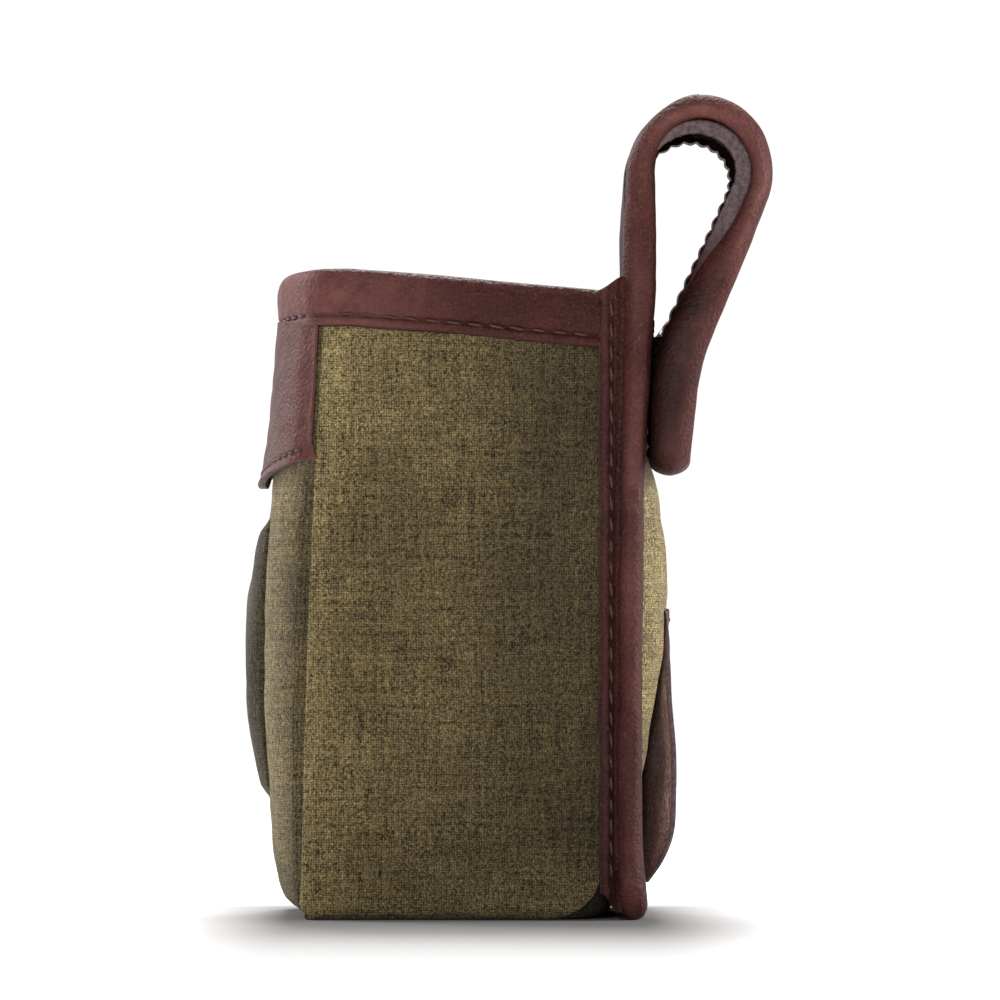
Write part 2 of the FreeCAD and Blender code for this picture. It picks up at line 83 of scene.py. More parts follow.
PLEAT_LOW = corner("front_pleat", 0).z
PLEAT_TOP = corner("front_pleat", 1).z

# The tongue's path past the start of its fold: angles in degrees, lengths and radii in millimetres
LEAN = 22.0
LEAF_SLOPE = 34.0
LEAF_BEND = 40.0
TAIL_LEAN = 6.0
TAIL_LENGTH = 14.0
PAST_TAIL = 3 * ROLL_REACH  # the path goes on past the cloth's end, for the binding round it
# Other sizes and places
SEAM_FOOT_Y = -73.7        # the front corner seams at the floor
SEAM_LEAN = 5.4            # how much further back they are at SEAM_TOP_Z
SEAM_TOP_Z = 138.0
CORNER = 11.5              # radius of the side panels' lower back corners
CORNER_Y = -8.1            # and where that curve ends
FOOT_ROUND = 3.2           # radius of the side panels' lower edges
PANEL_FOOT = 0.25          # clear of the floor
CLOTH_FOOT = 4.0           # the back cloth's lower edge
TONGUE_ROOT = 137.0        # the side flanges end here and the tongue goes on alone
LEAF_LEG = 11.0
BACK_LEG = 6.0
LOOP_TAPE = 2.5            # thickness of the tapes with their pile
HOOK_TAPE = 3.4
STITCH_PITCH = 4.6
FINE_PITCH = 2.6           # of the yoke's stitches
THREAD = 0.34
SEAM_LEVEL = HALF_CLOTH + LEATHER - 0.3   # stitches on the strip's bindings, from the cloth's middle
MOUTH_DROP = 4.9           # the mouth's back corners are this much lower than its front
MOUTH_LEVEL_Y = -62.0
RIM_HEIGHT = 12.0
RIM_SEAM = 9.85            # the rim's stitches below its top edge
FLANGE_SEAM_Y = -6.1       # the stitches of the binding's leg on a side panel
YOKE_SEAM = 2.3            # the yoke's stitches above its lower edge
SEAM_SHARE = 0.8           # where a seam runs on the binding's other legs, as a share of the leg
YOKE_SIDE_Z = 99.5
YOKE_MIDDLE_Z = 92.9

# Tables of (height or path length, value). First the depth of the front's bow in front of its corner seams
LOBE = ((2, 0.2), (3.5, 2.6), (6.5, 4.6), (11, 5.9), (22, 7.5), (32, 8.7), (45, 9.6), (60, 10.3), (76, 10.0),
        (90, 9.4), (110, 8.4), (140, 7.7))
# The pleat in front of that, and the back panel's cloth and the pocket's free edge behind the back's middle
PLEAT_RISE = ((24, 0.2), (30, 1.2), (38, 2.1), (48, 2.9), (60, 2.9), (74, 2.3), (82, 1.4), (88, 0.2))
SWELL = ((14, 0.0), (26, 1.2), (38, 4.0), (50, 6.0), (66, 7.1), (78, 6.8), (90, 5.2), (99, 2.7), (106, 0.4),
         (112, 0.0))
POCKET_BOW = ((7.6, 1.9), (11.6, 4.7), (16.3, 7.0), (28, 8.3), (34, 8.2), (48, 7.3), (53, 7.1), (66, 5.9))
# The back's edges stand this far in front of the CAD model's, by height
BACK_SHIFT = ((0, -1.2), (14, -2.1), (28, -2.3), (60, -2.0), (95, -1.6), (122, -0.5), (140, 0.0))
# How far the rolled edges stand out of the cloth's middle, to the loop's outside and inside, by path length
ROLL_LOW = ((0, 3.3), (8, 3.1), (28, 2.85), (95, 2.75), (118, 3.0), (136, 3.5))
ROLL_OUT = ROLL_LOW + ((151, 3.4), (160, 2.7), (167, 2.3), (173, 2.8), (181, 4.2), (188, 4.0), (197, 3.2),
                       (210, 3.1), (230, 3.2))
ROLL_IN = ROLL_LOW + ((151, 3.6), (161, 3.4), (168, 2.7), (175, 1.9), (181, 1.2), (190, 1.4), (197, 1.8),
                      (206, 2.2))
# How far the hanging leaf's rolled edge stands in, by height, and the strip beside it, by path length
LEAF_IN = ((98, 5.5), (112, 6.1), (119, 6.5), (127, 6.4), (134, 5.8), (140, 4.7), (146, 3.1), (152, 2.2))
FACING_TIP = ((163, 1.6), (170, 3.2), (181, 4.3), (197, 4.8), (215, 5.5), (230, 6.3), (240, 6.7), (250, 6.4),
              (264, 5.2), (268, 4.2))


def curve(table, at):
    """Smooth value of a table between its rows, and level beyond them."""
    keys, values = np.array(table, float).T
    slopes = np.gradient(values, keys)
    at = np.clip(np.asarray(at, float), keys[0], keys[-1])
    i = np.clip(np.searchsorted(keys, at, side="right") - 1, 0, len(keys) - 2)
    step = keys[i + 1] - keys[i]
    t = (at - keys[i]) / step
    rise = (2 * t**3 - 3 * t**2 + 1) * values[i] + (3 * t**2 - 2 * t**3) * values[i + 1]
    return rise + step * ((t**3 - 2 * t**2 + t) * slopes[i] + (t**3 - t**2) * slopes[i + 1])


def ease(low, high, at):
    t = unit((np.asarray(at, float) - low) / (high - low))
    return t * t * (3 - 2 * t)


def unit(value):
    """A value kept between 0 and 1."""
    return np.clip(value, 0, 1)


def bell(away, width):
    """1 where away is 0, falling off over about the width."""
    return np.exp(-((away / width) ** 2))


def column(low, high, count):
    return np.linspace(low, high, count)[:, None]


def row(low, high, count):
    return np.linspace(low, high, count)[None, :]


def crowded(half, share, count):
    """A row of places from -half to half, which a larger share crowds towards both ends."""
    t = row(-1, 1, count)
    return half * ((1 - share) * t + share * np.sin(math.pi / 2 * t))


def as_points(*parts):
    """Points from arrays of coordinates, which are stretched to one shape."""
    return np.stack(np.broadcast_arrays(*parts), -1)


def ripple(u, v, size, seed):
    """Smooth unevenness, about -1 to 1, with bumps about `size` across. seed picks its pattern."""
    random = np.random.default_rng(seed)
    total = 0.0
    for _ in range(9):
        angle = random.uniform(0, 2 * math.pi)
        pace = 2 * math.pi / size * random.uniform(0.55, 1.5)
        phase = random.uniform(0, 2 * math.pi)
        total = total + np.sin(pace * (u * math.cos(angle) + v * math.sin(angle)) + phase)
    return total / 4.5


# Mesh building

def mesh(name, points, faces, material, uv=None, marks=None):
    """A smooth mesh object from points in millimetres. uv is per face corner.

    marks are numbers per point that the materials read: "raw" for cut edges, the wear mark, which pales a
    surface both for rubbed wear and for painted highlight, and "dark", which mostly paints shade.
    """
    points = np.array(points, float).reshape(-1, 3)
    placed = (points + (0, BACK_Y, 0)) * MM
    data = bpy.data.meshes.new(name)
    data.from_pydata(placed.tolist(), [], [tuple(int(i) for i in face) for face in faces])
    if uv is not None:
        layer = data.uv_layers.new(name="cloth")
        layer.data.foreach_set("uv", (np.array(uv, float) * MM).ravel())
    for key, values in (marks or {}).items():
        attribute = data.attributes.new(key, "FLOAT", "POINT")
        attribute.data.foreach_set("value", np.array(values, np.float32).ravel())
    data.polygons.foreach_set("use_smooth", [True] * len(data.polygons))
    data.materials.append(material)
    data.validate()
    piece = bpy.data.objects.new(name, data)
    bpy.context.scene.collection.objects.link(piece)
    return piece


def quads(rows, cols, offset=0, wrap=False, flip=False):
    """Faces of a grid of points that are numbered row by row from offset."""
    r, c = np.meshgrid(np.arange(rows - 1), np.arange(cols if wrap else cols - 1), indexing="ij")
    r, c = r.ravel(), c.ravel()
    after = (c + 1) % cols
    faces = offset + np.stack([r * cols + c, r * cols + after, (r + 1) * cols + after, (r + 1) * cols + c], 1)
    return faces[:, ::-1] if flip else faces


def soften(piece, width):
    """Rounds the sharp edges of a piece."""
    bevel = piece.modifiers.new("rounded edges", "BEVEL")
    bevel.width = width * MM
    bevel.segments = 2
    bevel.limit_method = "ANGLE"
    bevel.angle_limit = math.radians(50)
    return piece


def slab(name, outer, inner, u, v, material, marks=None, edge=0.45):
    """A closed sheet between two grids of points, with u and v in millimetres along the cloth."""
    rows, cols = outer.shape[:2]
    points = np.concatenate([outer.reshape(-1, 3), inner.reshape(-1, 3)])
    uv = np.tile(as_points(u, v).reshape(-1, 2), (2, 1))
    far = rows * cols
    index = np.arange(far).reshape(rows, cols)
    rim = np.concatenate([index[0, :-1], index[:-1, -1], index[-1, :0:-1], index[:0:-1, 0]])
    after = np.roll(rim, -1)
    border = np.stack([after, rim, rim + far, after + far], 1)
    faces = np.concatenate([quads(rows, cols), quads(rows, cols, offset=far, flip=True), border])
    if np.cross(outer[0, 1] - outer[0, 0], outer[1, 0] - outer[0, 0]) @ (outer[0, 0] - inner[0, 0]) < 0:
        faces = faces[:, ::-1]
    marks = {key: np.tile(np.ravel(value), 2) for key, value in (marks or {}).items()}
    return soften(mesh(name, points, faces, material, uv[faces.ravel()], marks), edge)


def smooth_loop(points, each):
    """Closed Catmull-Rom curve through points, with `each` steps from one to the next."""
    points = np.array(points, float)
    out = []
    for i in range(len(points)):
        p0, p1, p2, p3 = (points[(i + k) % len(points)] for k in (-1, 0, 1, 2))
        for t in np.arange(each) / each:
            out.append(0.5 * (2 * p1 + (p2 - p0) * t + (2 * p0 - 5 * p1 + 4 * p2 - p3) * t**2
                              + (3 * p1 - p0 - 3 * p2 + p3) * t**3))
    return np.array(out)


def sweep(name, grid, material, marks, caps=True):
    """A tube whose rows are closed sections, with flat ends if it has caps."""
    rows, cols = grid.shape[:2]
    faces = [tuple(face) for face in quads(rows, cols, wrap=True)]
    if caps:
        faces.append(tuple(range(cols)))
        faces.append(tuple(range((rows - 1) * cols, rows * cols))[::-1])
    normal = np.cross(grid[0, 1] - grid[0, 0], grid[1, 0] - grid[0, 0])
    if normal @ (grid[0, 0] - grid[0].mean(0)) < 0:
        faces = [face[::-1] for face in faces]
    marks = {key: np.ravel(np.broadcast_to(value, (rows, cols))) for key, value in marks.items()}
    return mesh(name, grid.reshape(-1, 3), faces, material, None, marks)


# The tongue: a flat strip, with s along it, bent to its path

def tongue_path():
    """Places and headings along the middle of the cloth, as arrays over s."""
    step = 0.25
    y, z, angle = 0.0, 0.0, math.pi / 2
    rows = [(0.0, y, z, angle)]
    moves = [
        (FOLD_Z, 0.0),
        (math.radians(180 + LEAN) * FOLD_RADIUS, -1 / FOLD_RADIUS),
        (LEAF_SLOPE, 0.0),
        (math.radians(LEAN - TAIL_LEAN) * LEAF_BEND, 1 / LEAF_BEND),
        (TAIL_LENGTH + PAST_TAIL, 0.0),
    ]
    s = 0.0
    for length, turn in moves:
        count = max(1, round(length / step))
        for _ in range(count):
            angle += turn * length / count / 2
            y += length / count * math.cos(angle)
            z += length / count * math.sin(angle)
            angle += turn * length / count / 2
            s += length / count
            rows.append((s, y, z, angle))
    return np.array(rows).T


PATH_S, PATH_Y, PATH_Z, PATH_ANGLE = tongue_path()
TOP_S = FOLD_Z + FOLD_RADIUS * math.pi / 2
TAIL_S = PATH_S[-1] - PAST_TAIL


def bend(x, s, n):
    """Place of a point x across, s along the cloth and n out of it, where n is towards the loop's outside."""
    x, s, n = np.broadcast_arrays(x, s, n)
    angle = np.interp(s, PATH_S, PATH_ANGLE)
    y = np.interp(s, PATH_S, PATH_Y) + np.where(s < TONGUE_ROOT + 4, curve(BACK_SHIFT, s), 0.0)
    z = np.interp(s, PATH_S, PATH_Z)
    return as_points(x, y - n * np.sin(angle), z + n * np.cos(angle))


def s_at_height(z):
    """Path length at which the hanging leaf is at height z."""
    hanging = PATH_S > TOP_S
    return float(np.interp(-z, -PATH_Z[hanging], PATH_S[hanging]))


def back_swell(x, s):
    """How far the back panel's cloth stands out behind its margins."""
    across = 1 - unit(np.abs(x) / (HALF_WIDTH - 2.0)) ** 6
    swell = curve(SWELL, s) * across
    uneven = 0.5 * ripple(x, s, 26, 11) * across * ease(8, 30, s) * ease(112, 90, s)
    return swell + uneven


def pocket_press(x, s):
    """How far the pocket's leather presses the swollen cloth in."""
    across = ease(POCKET_HALF + 1, POCKET_HALF - 3, np.abs(x))
    return 1.9 * across * ease(POCKET_TOP - 0.5, POCKET_TOP - 8, s) * ease(20, 45, s)


def pocket_thickness(z):
    """The pocket's leather, which is pared thin at its sewn top edge."""
    return LEATHER * (0.35 + 0.65 * ease(POCKET_TOP, POCKET_TOP - 9, z))


# The front

def seam_y(z):
    """The front corner seams, which lean forwards towards the floor."""
    z = np.asarray(z, float)
    share = z / SEAM_TOP_Z
    return SEAM_FOOT_Y + SEAM_LEAN * share - 0.9 * np.sin(math.pi * unit(share)) + 0.9 * ease(4, 0, z)


def across_share(x, z):
    """Share of the front's full bow, from 0 at the corner seams to 1 over the middle."""
    power = 5.5 - 2.3 * ease(86, 106, z)
    return 1 - unit(np.abs(x) / HALF_WIDTH) ** power


def front_y(x, z):
    """Outer face of the front canvas."""
    x, z = np.broadcast_arrays(np.asarray(x, float), np.asarray(z, float))
    off = np.abs(x)
    uneven = 0.35 * ripple(x, z, 30, 21) + 0.12 * ripple(x, z, 9, 22)
    valley = 1.5 * bell(off - PLEAT_HALF - 1.0, 2.0) * pleat_rise(z) / 3.0
    middle = 0.9 * np.exp(-((x / 26.0) ** 4)) * ease(110, 60, z) * ease(0, 20, z)
    depth = curve(LOBE, z) - middle + uneven
    seam = ease(HALF_WIDTH - 2.2, HALF_WIDTH - 0.6, off) * ease(YOKE_SIDE_Z + 4, YOKE_SIDE_Z, z)
    return seam_y(z) - depth * across_share(x, z) + valley + seam


def pleat_rise(z):
    inside = (z > PLEAT_LOW) & (z < PLEAT_TOP)
    return np.where(inside, np.maximum(curve(PLEAT_RISE, z), 0), 0.0)


def mouth_z(x, y):
    """Height of the rim's top edge, which sags in the middle of the front."""
    slope = unit((y - RIM_BACK_Y) / (MOUTH_LEVEL_Y - RIM_BACK_Y))
    sag = 1.9 * (1 - unit(np.abs(x) / HALF_WIDTH) ** 2) * ease(-60, -72, y)
    return MOUTH_Z - 0.1 - MOUTH_DROP * (1 - slope) - sag


# Materials

def node_tree(name):
    material = bpy.data.materials.new(name)
    material.use_nodes = True
    tree = material.node_tree
    shader = tree.nodes["Principled BSDF"]
    return material, tree, shader


def set_inputs(tree, node, values):
    """Sets a node's inputs, by name or number, to values or to other nodes' outputs."""
    for key, value in values.items():
        if isinstance(value, bpy.types.NodeSocket):
            tree.links.new(value, node.inputs[key])
        else:
            node.inputs[key].default_value = value


def add(tree, kind, inputs, **settings):
    """A shader node with its properties and its inputs."""
    node = tree.nodes.new(kind)
    for key, value in settings.items():
        setattr(node, key, value)
    set_inputs(tree, node, inputs)
    return node


def coordinates(tree, kind="Object"):
    return add(tree, "ShaderNodeTexCoord", {}).outputs[kind]


def split(tree, vector):
    """The x, y and z of a vector."""
    return add(tree, "ShaderNodeSeparateXYZ", {0: vector}).outputs


def calculate(tree, operation, *numbers):
    return add(tree, "ShaderNodeMath", dict(enumerate(numbers)), operation=operation).outputs[0]


def times(tree, a, b):
    return calculate(tree, "MULTIPLY", a, b)


def plus(tree, a, b):
    return calculate(tree, "ADD", a, b)


def noise(tree, place, scale, detail, roughness=0.5, output="Fac"):
    inputs = {"Vector": place, "Scale": scale, "Detail": detail, "Roughness": roughness}
    return add(tree, "ShaderNodeTexNoise", inputs).outputs[output]


def cells(tree, place, scale, randomness):
    """Distance from the nearest of many scattered points."""
    inputs = {"Vector": place, "Scale": scale, "Randomness": randomness}
    return add(tree, "ShaderNodeTexVoronoi", inputs).outputs["Distance"]


def ramp(tree, value, stops):
    """A colour ramp. Each stop is (position, (r, g, b))."""
    node = add(tree, "ShaderNodeValToRGB", {"Fac": value})
    elements = node.color_ramp.elements
    while len(elements) < len(stops):
        elements.new(0.5)
    for element, (position, colour) in zip(elements, stops):
        element.position = position
        element.color = (*colour, 1)
    return node.outputs["Color"]


def span(tree, value, low, high, to_low=0.0, to_high=1.0):
    """A value's range from low to high, spread from to_low to to_high and clamped."""
    inputs = {"Value": value, "From Min": low, "From Max": high, "To Min": to_low, "To Max": to_high}
    return add(tree, "ShaderNodeMapRange", inputs).outputs["Result"]


def blend_colours(tree, share, a, b, mode="MIX"):
    """Mix of two colours, each a colour or another node's output."""
    a, b = ((*colour, 1) if isinstance(colour, tuple) else colour for colour in (a, b))
    inputs = {0: share, 6: a, 7: b}
    return add(tree, "ShaderNodeMix", inputs, data_type="RGBA", blend_type=mode, clamp_factor=True).outputs[2]


def bump(tree, height, distance, strength):
    inputs = {"Height": height, "Distance": distance, "Strength": strength}
    return add(tree, "ShaderNodeBump", inputs).outputs["Normal"]


def mark(tree, name):
    return add(tree, "ShaderNodeAttribute", {}, attribute_name=name).outputs["Fac"]


def specks(tree, place, scale, low, high):
    """Fine random spots of grey, to multiply a colour by."""
    value = span(tree, noise(tree, place, scale, 1.0), 0.34, 0.66, low, high)
    return add(tree, "ShaderNodeCombineColor", dict.fromkeys(range(3), value)).outputs["Color"]


def scaled(colour, factor, lift=0.0):
    return tuple(factor * channel + lift for channel in colour)


CANVAS_DARK = (0.058, 0.043, 0.019)
CANVAS_MIDDLE = (0.100, 0.077, 0.035)
CANVAS_LIGHT = (0.150, 0.117, 0.056)
CANVAS_WORN_AND_LIT = (0.225, 0.178, 0.086)
CANVAS_SHADE = (0.036, 0.028, 0.0135)
# What the canvas's colours are multiplied by between the threads and on top of them: painted shade in the
# gaps and painted highlight on the crowns
THREAD_GAP = (0.11, 0.10, 0.09)
THREAD_CROWN = (3.5, 3.4, 3.15)
WEAVE_PITCH = 0.00054      # metres


def wandering(tree, cloth, place):
    """The cloth's coordinates, moved about a little, so that no thread runs straight."""
    for scale, reach in ((240.0, 0.0007), (1500.0, 0.00034)):
        wander = noise(tree, place, scale, 2.0, output="Color")
        inputs = {0: wander, 1: (reach, reach, 0), 2: cloth}
        cloth = add(tree, "ShaderNodeVectorMath", inputs, operation="MULTIPLY_ADD").outputs[0]
    return cloth


def weave(tree, cloth):
    """Height of a plain weave, where warp and weft take turns on top and no two crossings are as high."""
    counts = [times(tree, axis, 1 / WEAVE_PITCH) for axis in split(tree, cloth)[:2]]
    numbers = [calculate(tree, "FLOOR", count) for count in counts]
    waves = [calculate(tree, "SINE", times(tree, count, math.pi)) for count in counts]
    warp, weft = (calculate(tree, "ABSOLUTE", wave) for wave in waves)
    over = calculate(tree, "FLOORED_MODULO", plus(tree, *numbers), 2.0)
    under = calculate(tree, "SUBTRACT", 1.0, over)
    warp_top = times(tree, warp, calculate(tree, "POWER", weft, 0.5))
    weft_top = times(tree, weft, calculate(tree, "POWER", warp, 0.5))
    thread = calculate(tree, "MULTIPLY_ADD", weft_top, under, times(tree, warp_top, over))
    crossing = add(tree, "ShaderNodeCombineXYZ", dict(enumerate(numbers))).outputs[0]
    beads = add(tree, "ShaderNodeTexWhiteNoise", {"Vector": crossing}, noise_dimensions="2D")
    return times(tree, thread, span(tree, beads.outputs["Value"], 0.0, 1.0, 0.62, 1.15))


def streaks(tree, cloth):
    """Thick and thin stretches of the threads, both ways across the cloth."""
    ways = []
    for stretch in ((1.0, 0.07, 1.0), (0.07, 1.0, 1.0)):
        drawn = add(tree, "ShaderNodeVectorMath", {0: cloth, 1: stretch}, operation="MULTIPLY")
        ways.append(noise(tree, drawn.outputs[0], 900.0, 2.0, 0.6))
    return plus(tree, *ways)


def canvas_material():
    """Waxed canvas: a plain weave of coarse olive threads, rubbed pale where the wax has worn, paler still
    where highlight is painted on it, and darker where the dark mark darkens it, mostly as painted shade.
    """
    material, tree, shader = node_tree("waxed_canvas")
    cloth = add(tree, "ShaderNodeUVMap", {}, uv_map="cloth").outputs["UV"]
    place = coordinates(tree)
    fuzz = noise(tree, place, 1700.0, 2.0, 0.7)
    slubs = noise(tree, place, 1100.0, 3.0, 0.65)
    height = times(tree, weave(tree, wandering(tree, cloth, place)), span(tree, slubs, 0.3, 0.7, 0.2, 1.0))
    height = plus(tree, height, span(tree, fuzz, 0.3, 0.7, -0.28, 0.62))
    height = plus(tree, height, span(tree, streaks(tree, cloth), 0.7, 1.3, -0.22, 0.22))
    clouds = noise(tree, place, 22.0, 4.0, 0.6)
    patches = noise(tree, place, 80.0, 5.0, 0.7)
    rubbed = plus(tree, times(tree, clouds, 0.5), times(tree, patches, 0.5))
    base = ramp(tree, rubbed, [(0.30, CANVAS_DARK), (0.5, CANVAS_MIDDLE), (0.70, CANVAS_LIGHT)])
    # Paler where rubbed and where highlight is painted; darker where the dark mark darkens it, mostly as
    # painted shade.
    worn_and_lit = times(tree, mark(tree, "wear_and_highlight"), span(tree, patches, 0.25, 0.7, 0.55, 1.0))
    colour = blend_colours(tree, times(tree, worn_and_lit, 0.7), base, CANVAS_WORN_AND_LIT)
    colour = blend_colours(tree, times(tree, mark(tree, "dark"), 0.9), colour, CANVAS_SHADE)
    # Painted shade between the threads and painted highlight on their crowns.
    gaps = blend_colours(tree, span(tree, height, -0.10, 1.45), THREAD_GAP, THREAD_CROWN)
    gaps = blend_colours(tree, 1.0, gaps, specks(tree, place, 3200.0, 0.50, 1.55), "MULTIPLY")
    set_inputs(tree, shader, {
        "Base Color": blend_colours(tree, 1.0, colour, gaps, "MULTIPLY"),
        "Roughness": span(tree, patches, 0.3, 0.7, 0.78, 0.93),
        "Specular IOR Level": 0.22,
        "Sheen Weight": 0.10,
        "Sheen Roughness": 0.5,
        "Normal": bump(tree, height, 0.00025, 0.8),
    })
    return material


def leather_material(name, dark, middle, light, raw, gloss=0.53, grain=1.0):
    """Pebbled leather with a wax finish. "raw" marks its cut edges; the wear mark pales rubbed edges and
    paints highlight; "dark" paints shade on the rolled edges' inner side low down, on the facings and on the
    rim's back, and darkens the flanges low down and the rim's stitch line.
    """
    material, tree, shader = node_tree(name)
    place = coordinates(tree)
    cloud = noise(tree, place, 34.0, 5.0, 0.62)
    fine = noise(tree, place, 900.0, 3.0, 0.65)
    wrinkles = noise(tree, place, 300.0, 5.0, 0.7)
    base = ramp(tree, cloud, [(0.33, dark), (0.5, middle), (0.68, light)])
    mottled = blend_colours(tree, span(tree, fine, 0.38, 0.66), base, (0.42, 0.36, 0.35), "MULTIPLY")
    spots = blend_colours(tree, span(tree, fine, 0.54, 0.74, 0.0, 0.65), mottled, scaled(light, 1.25))
    spots = blend_colours(tree, 1.0, spots, specks(tree, place, 2800.0, 0.70, 1.34), "MULTIPLY")
    # Mostly painted shade: the dark mark multiplies the colour towards near black.
    darkening = times(tree, mark(tree, "dark"), 0.75)
    shaded = blend_colours(tree, darkening, spots, (0.22, 0.22, 0.24), "MULTIPLY")
    # The wear mark pales rubbed edges and paints highlight.
    rubbed = times(tree, mark(tree, "wear_and_highlight"), span(tree, wrinkles, 0.3, 0.7, 0.35, 1.0))
    worn_and_lit = blend_colours(tree, times(tree, rubbed, 0.75), shaded, scaled(light, 1.7, 0.02))
    cut = blend_colours(tree, span(tree, fine, 0.35, 0.65), scaled(raw, 0.6), scaled(raw, 1.25))
    pores = cells(tree, place, 1250.0, 1.0)
    skin = calculate(tree, "MULTIPLY_ADD", pores, 0.9, times(tree, wrinkles, 0.7))
    set_inputs(tree, shader, {
        "Base Color": blend_colours(tree, mark(tree, "raw"), worn_and_lit, cut),
        "Roughness": span(tree, cloud, 0.3, 0.7, gloss - 0.07, gloss + 0.13),
        "Specular IOR Level": 0.12,
        "Normal": bump(tree, plus(tree, skin, fine), 0.00025 * grain, 0.85),
    })
    return material


def thread_material():
    """Waxed thread, with its twist as fine slanting ridges."""
    material, tree, shader = node_tree("waxed_thread")
    inputs = {"Vector": coordinates(tree), "Scale": 900.0, "Distortion": 1.5}
    twist = add(tree, "ShaderNodeTexWave", inputs, bands_direction="DIAGONAL").outputs["Fac"]
    set_inputs(tree, shader, {
        "Base Color": ramp(tree, twist, [(0.2, (0.030, 0.009, 0.008)), (0.75, (0.090, 0.032, 0.028))]),
        "Roughness": 0.55,
        "Normal": bump(tree, twist, 0.0001, 0.6),
    })
    return material


def tape_material(name, scale, tone):
    """Hook-and-loop tape: a black woven base under fine hooks or loops."""
    material, tree, shader = node_tree(name)
    place = coordinates(tree)
    tufts = cells(tree, place, scale, 0.7)
    lint = noise(tree, place, scale * 1.7, 4.0, 0.7)
    set_inputs(tree, shader, {
        "Base Color": ramp(tree, times(tree, tufts, lint), [(0.08, scaled(tone, 3.2)), (0.5, tone)]),
        "Roughness": 0.85,
        "Specular IOR Level": 0.15,
        "Normal": bump(tree, calculate(tree, "SUBTRACT", 1.0, tufts), 0.0005, 1.0),
    })
    return material


CANVAS_LOOK = canvas_material()
LEATHER_LOOK = leather_material("burgundy_leather", (0.041, 0.0105, 0.0092), (0.077, 0.0215, 0.0180),
                                (0.132, 0.045, 0.038), (0.125, 0.085, 0.088))
FLESH_LOOK = leather_material("leather_flesh_side", (0.190, 0.092, 0.085), (0.42, 0.235, 0.215),
                              (0.72, 0.52, 0.49), (0.16, 0.08, 0.075), gloss=0.8, grain=1.6)
THREAD_LOOK = thread_material()
LOOP_LOOK = tape_material("loop_tape_pile", 1700.0, (0.010, 0.010, 0.011))
HOOK_LOOK = tape_material("hook_tape_hooks", 1300.0, (0.012, 0.012, 0.013))
LINT_LOOK = tape_material("tape_lint", 900.0, (0.022, 0.014, 0.012))


# Canvas panels

def cloth_slab(name, outer, u, v, inward, wear_and_highlight, dark):
    """A canvas sheet from its outer face. `inward` is the direction into the cloth."""
    inner = outer + np.asarray(inward, float) * CANVAS
    return slab(name, outer, inner, u, v, CANVAS_LOOK, {"wear_and_highlight": wear_and_highlight, "dark": dark})


def corner_y(z):
    """The side panel's back edge, which rounds into the bottom."""
    return CORNER_Y - CORNER + np.sqrt(CORNER**2 - np.clip(CORNER - z, 0, CORNER) ** 2)


def side_wear_and_highlight(y, z, from_seam):
    """A side panel is rubbed pale along its front seam, under the rim and near the floor; at its lower back
    corner and on a fold line beside the seam up top, the paling is painted highlight.
    """
    wear_and_highlight = 0.7 * bell(from_seam, 6.5) + 0.7 * ease(96, 128, z) * ease(-42, -62, y)
    wear_and_highlight = wear_and_highlight + 0.5 * ease(-24, -12, y) * ease(16, 4, z) + 0.3 * ease(8, 1, z)
    return unit(wear_and_highlight + 0.6 * bell(from_seam - 5.4, 0.9) * ease(92, 102, z))


def side_dark(y, z, seed):
    """A side panel is darker towards the back and low down at the back, in uneven patches."""
    dark = 0.62 * ease(-44, -16, y) * ease(4, 20, z) + 0.21 * ease(-66, -50, y)
    return unit(dark + 0.25 * ease(40, 5, z) * ease(-30, -12, y) + 0.17 * ripple(y, z, 45, seed))


def side_canvas(name, side):
    up = column(0, 1, 120)
    t = row(0, 1, 66)
    share = 0.35 * (0.5 - 0.5 * np.cos(math.pi * t)) + 0.65 * t
    level = up * MOUTH_Z
    front = seam_y(level) + 0.15
    back = corner_y(level) + 6.6 * ease(CORNER, CORNER + 8, level)
    y = front + (back - front) * share
    z = PANEL_FOOT + up * (mouth_z(HALF_WIDTH, y) - LEATHER - PANEL_FOOT)
    from_seam = y - front
    ridge = 0.75 * bell(from_seam - 1.9, 1.5) - 1.5 * unit(1 - from_seam / 1.1) ** 2
    valley = -0.35 * bell(from_seam - 5.2, 1.9)
    belly = 1.3 * np.sin(math.pi * share) * np.sin(math.pi * up) ** 0.8 - 0.35
    below = np.clip(FOOT_ROUND - z, 0, FOOT_ROUND)
    foot = FOOT_ROUND - np.sqrt(np.clip(FOOT_ROUND**2 - below**2, 0, None))
    seed = 31 if side > 0 else 47
    uneven = 0.42 * ripple(y, z, 34, seed) + 0.13 * ripple(y, z, 10, seed + 1)
    lean = 0.45 * np.sin((y * 0.8 - z) / 9.0) * ease(-40, -12, y) * ease(70, 125, z)
    x = HALF_WIDTH - 0.2 + ridge + valley + belly - foot + (uneven + lean) * ease(0, 6, from_seam)
    x = np.minimum(x, HALF_WIDTH + 1.6)
    y = y + 1.3 * ease(2.5, 0, z) * np.where(share < 0.02, 1, 0)
    outer = as_points(side * x, y, z)
    return cloth_slab(name, outer, y, z, (-side, 0, 0), side_wear_and_highlight(y, z, from_seam), side_dark(y, z, seed + 4))


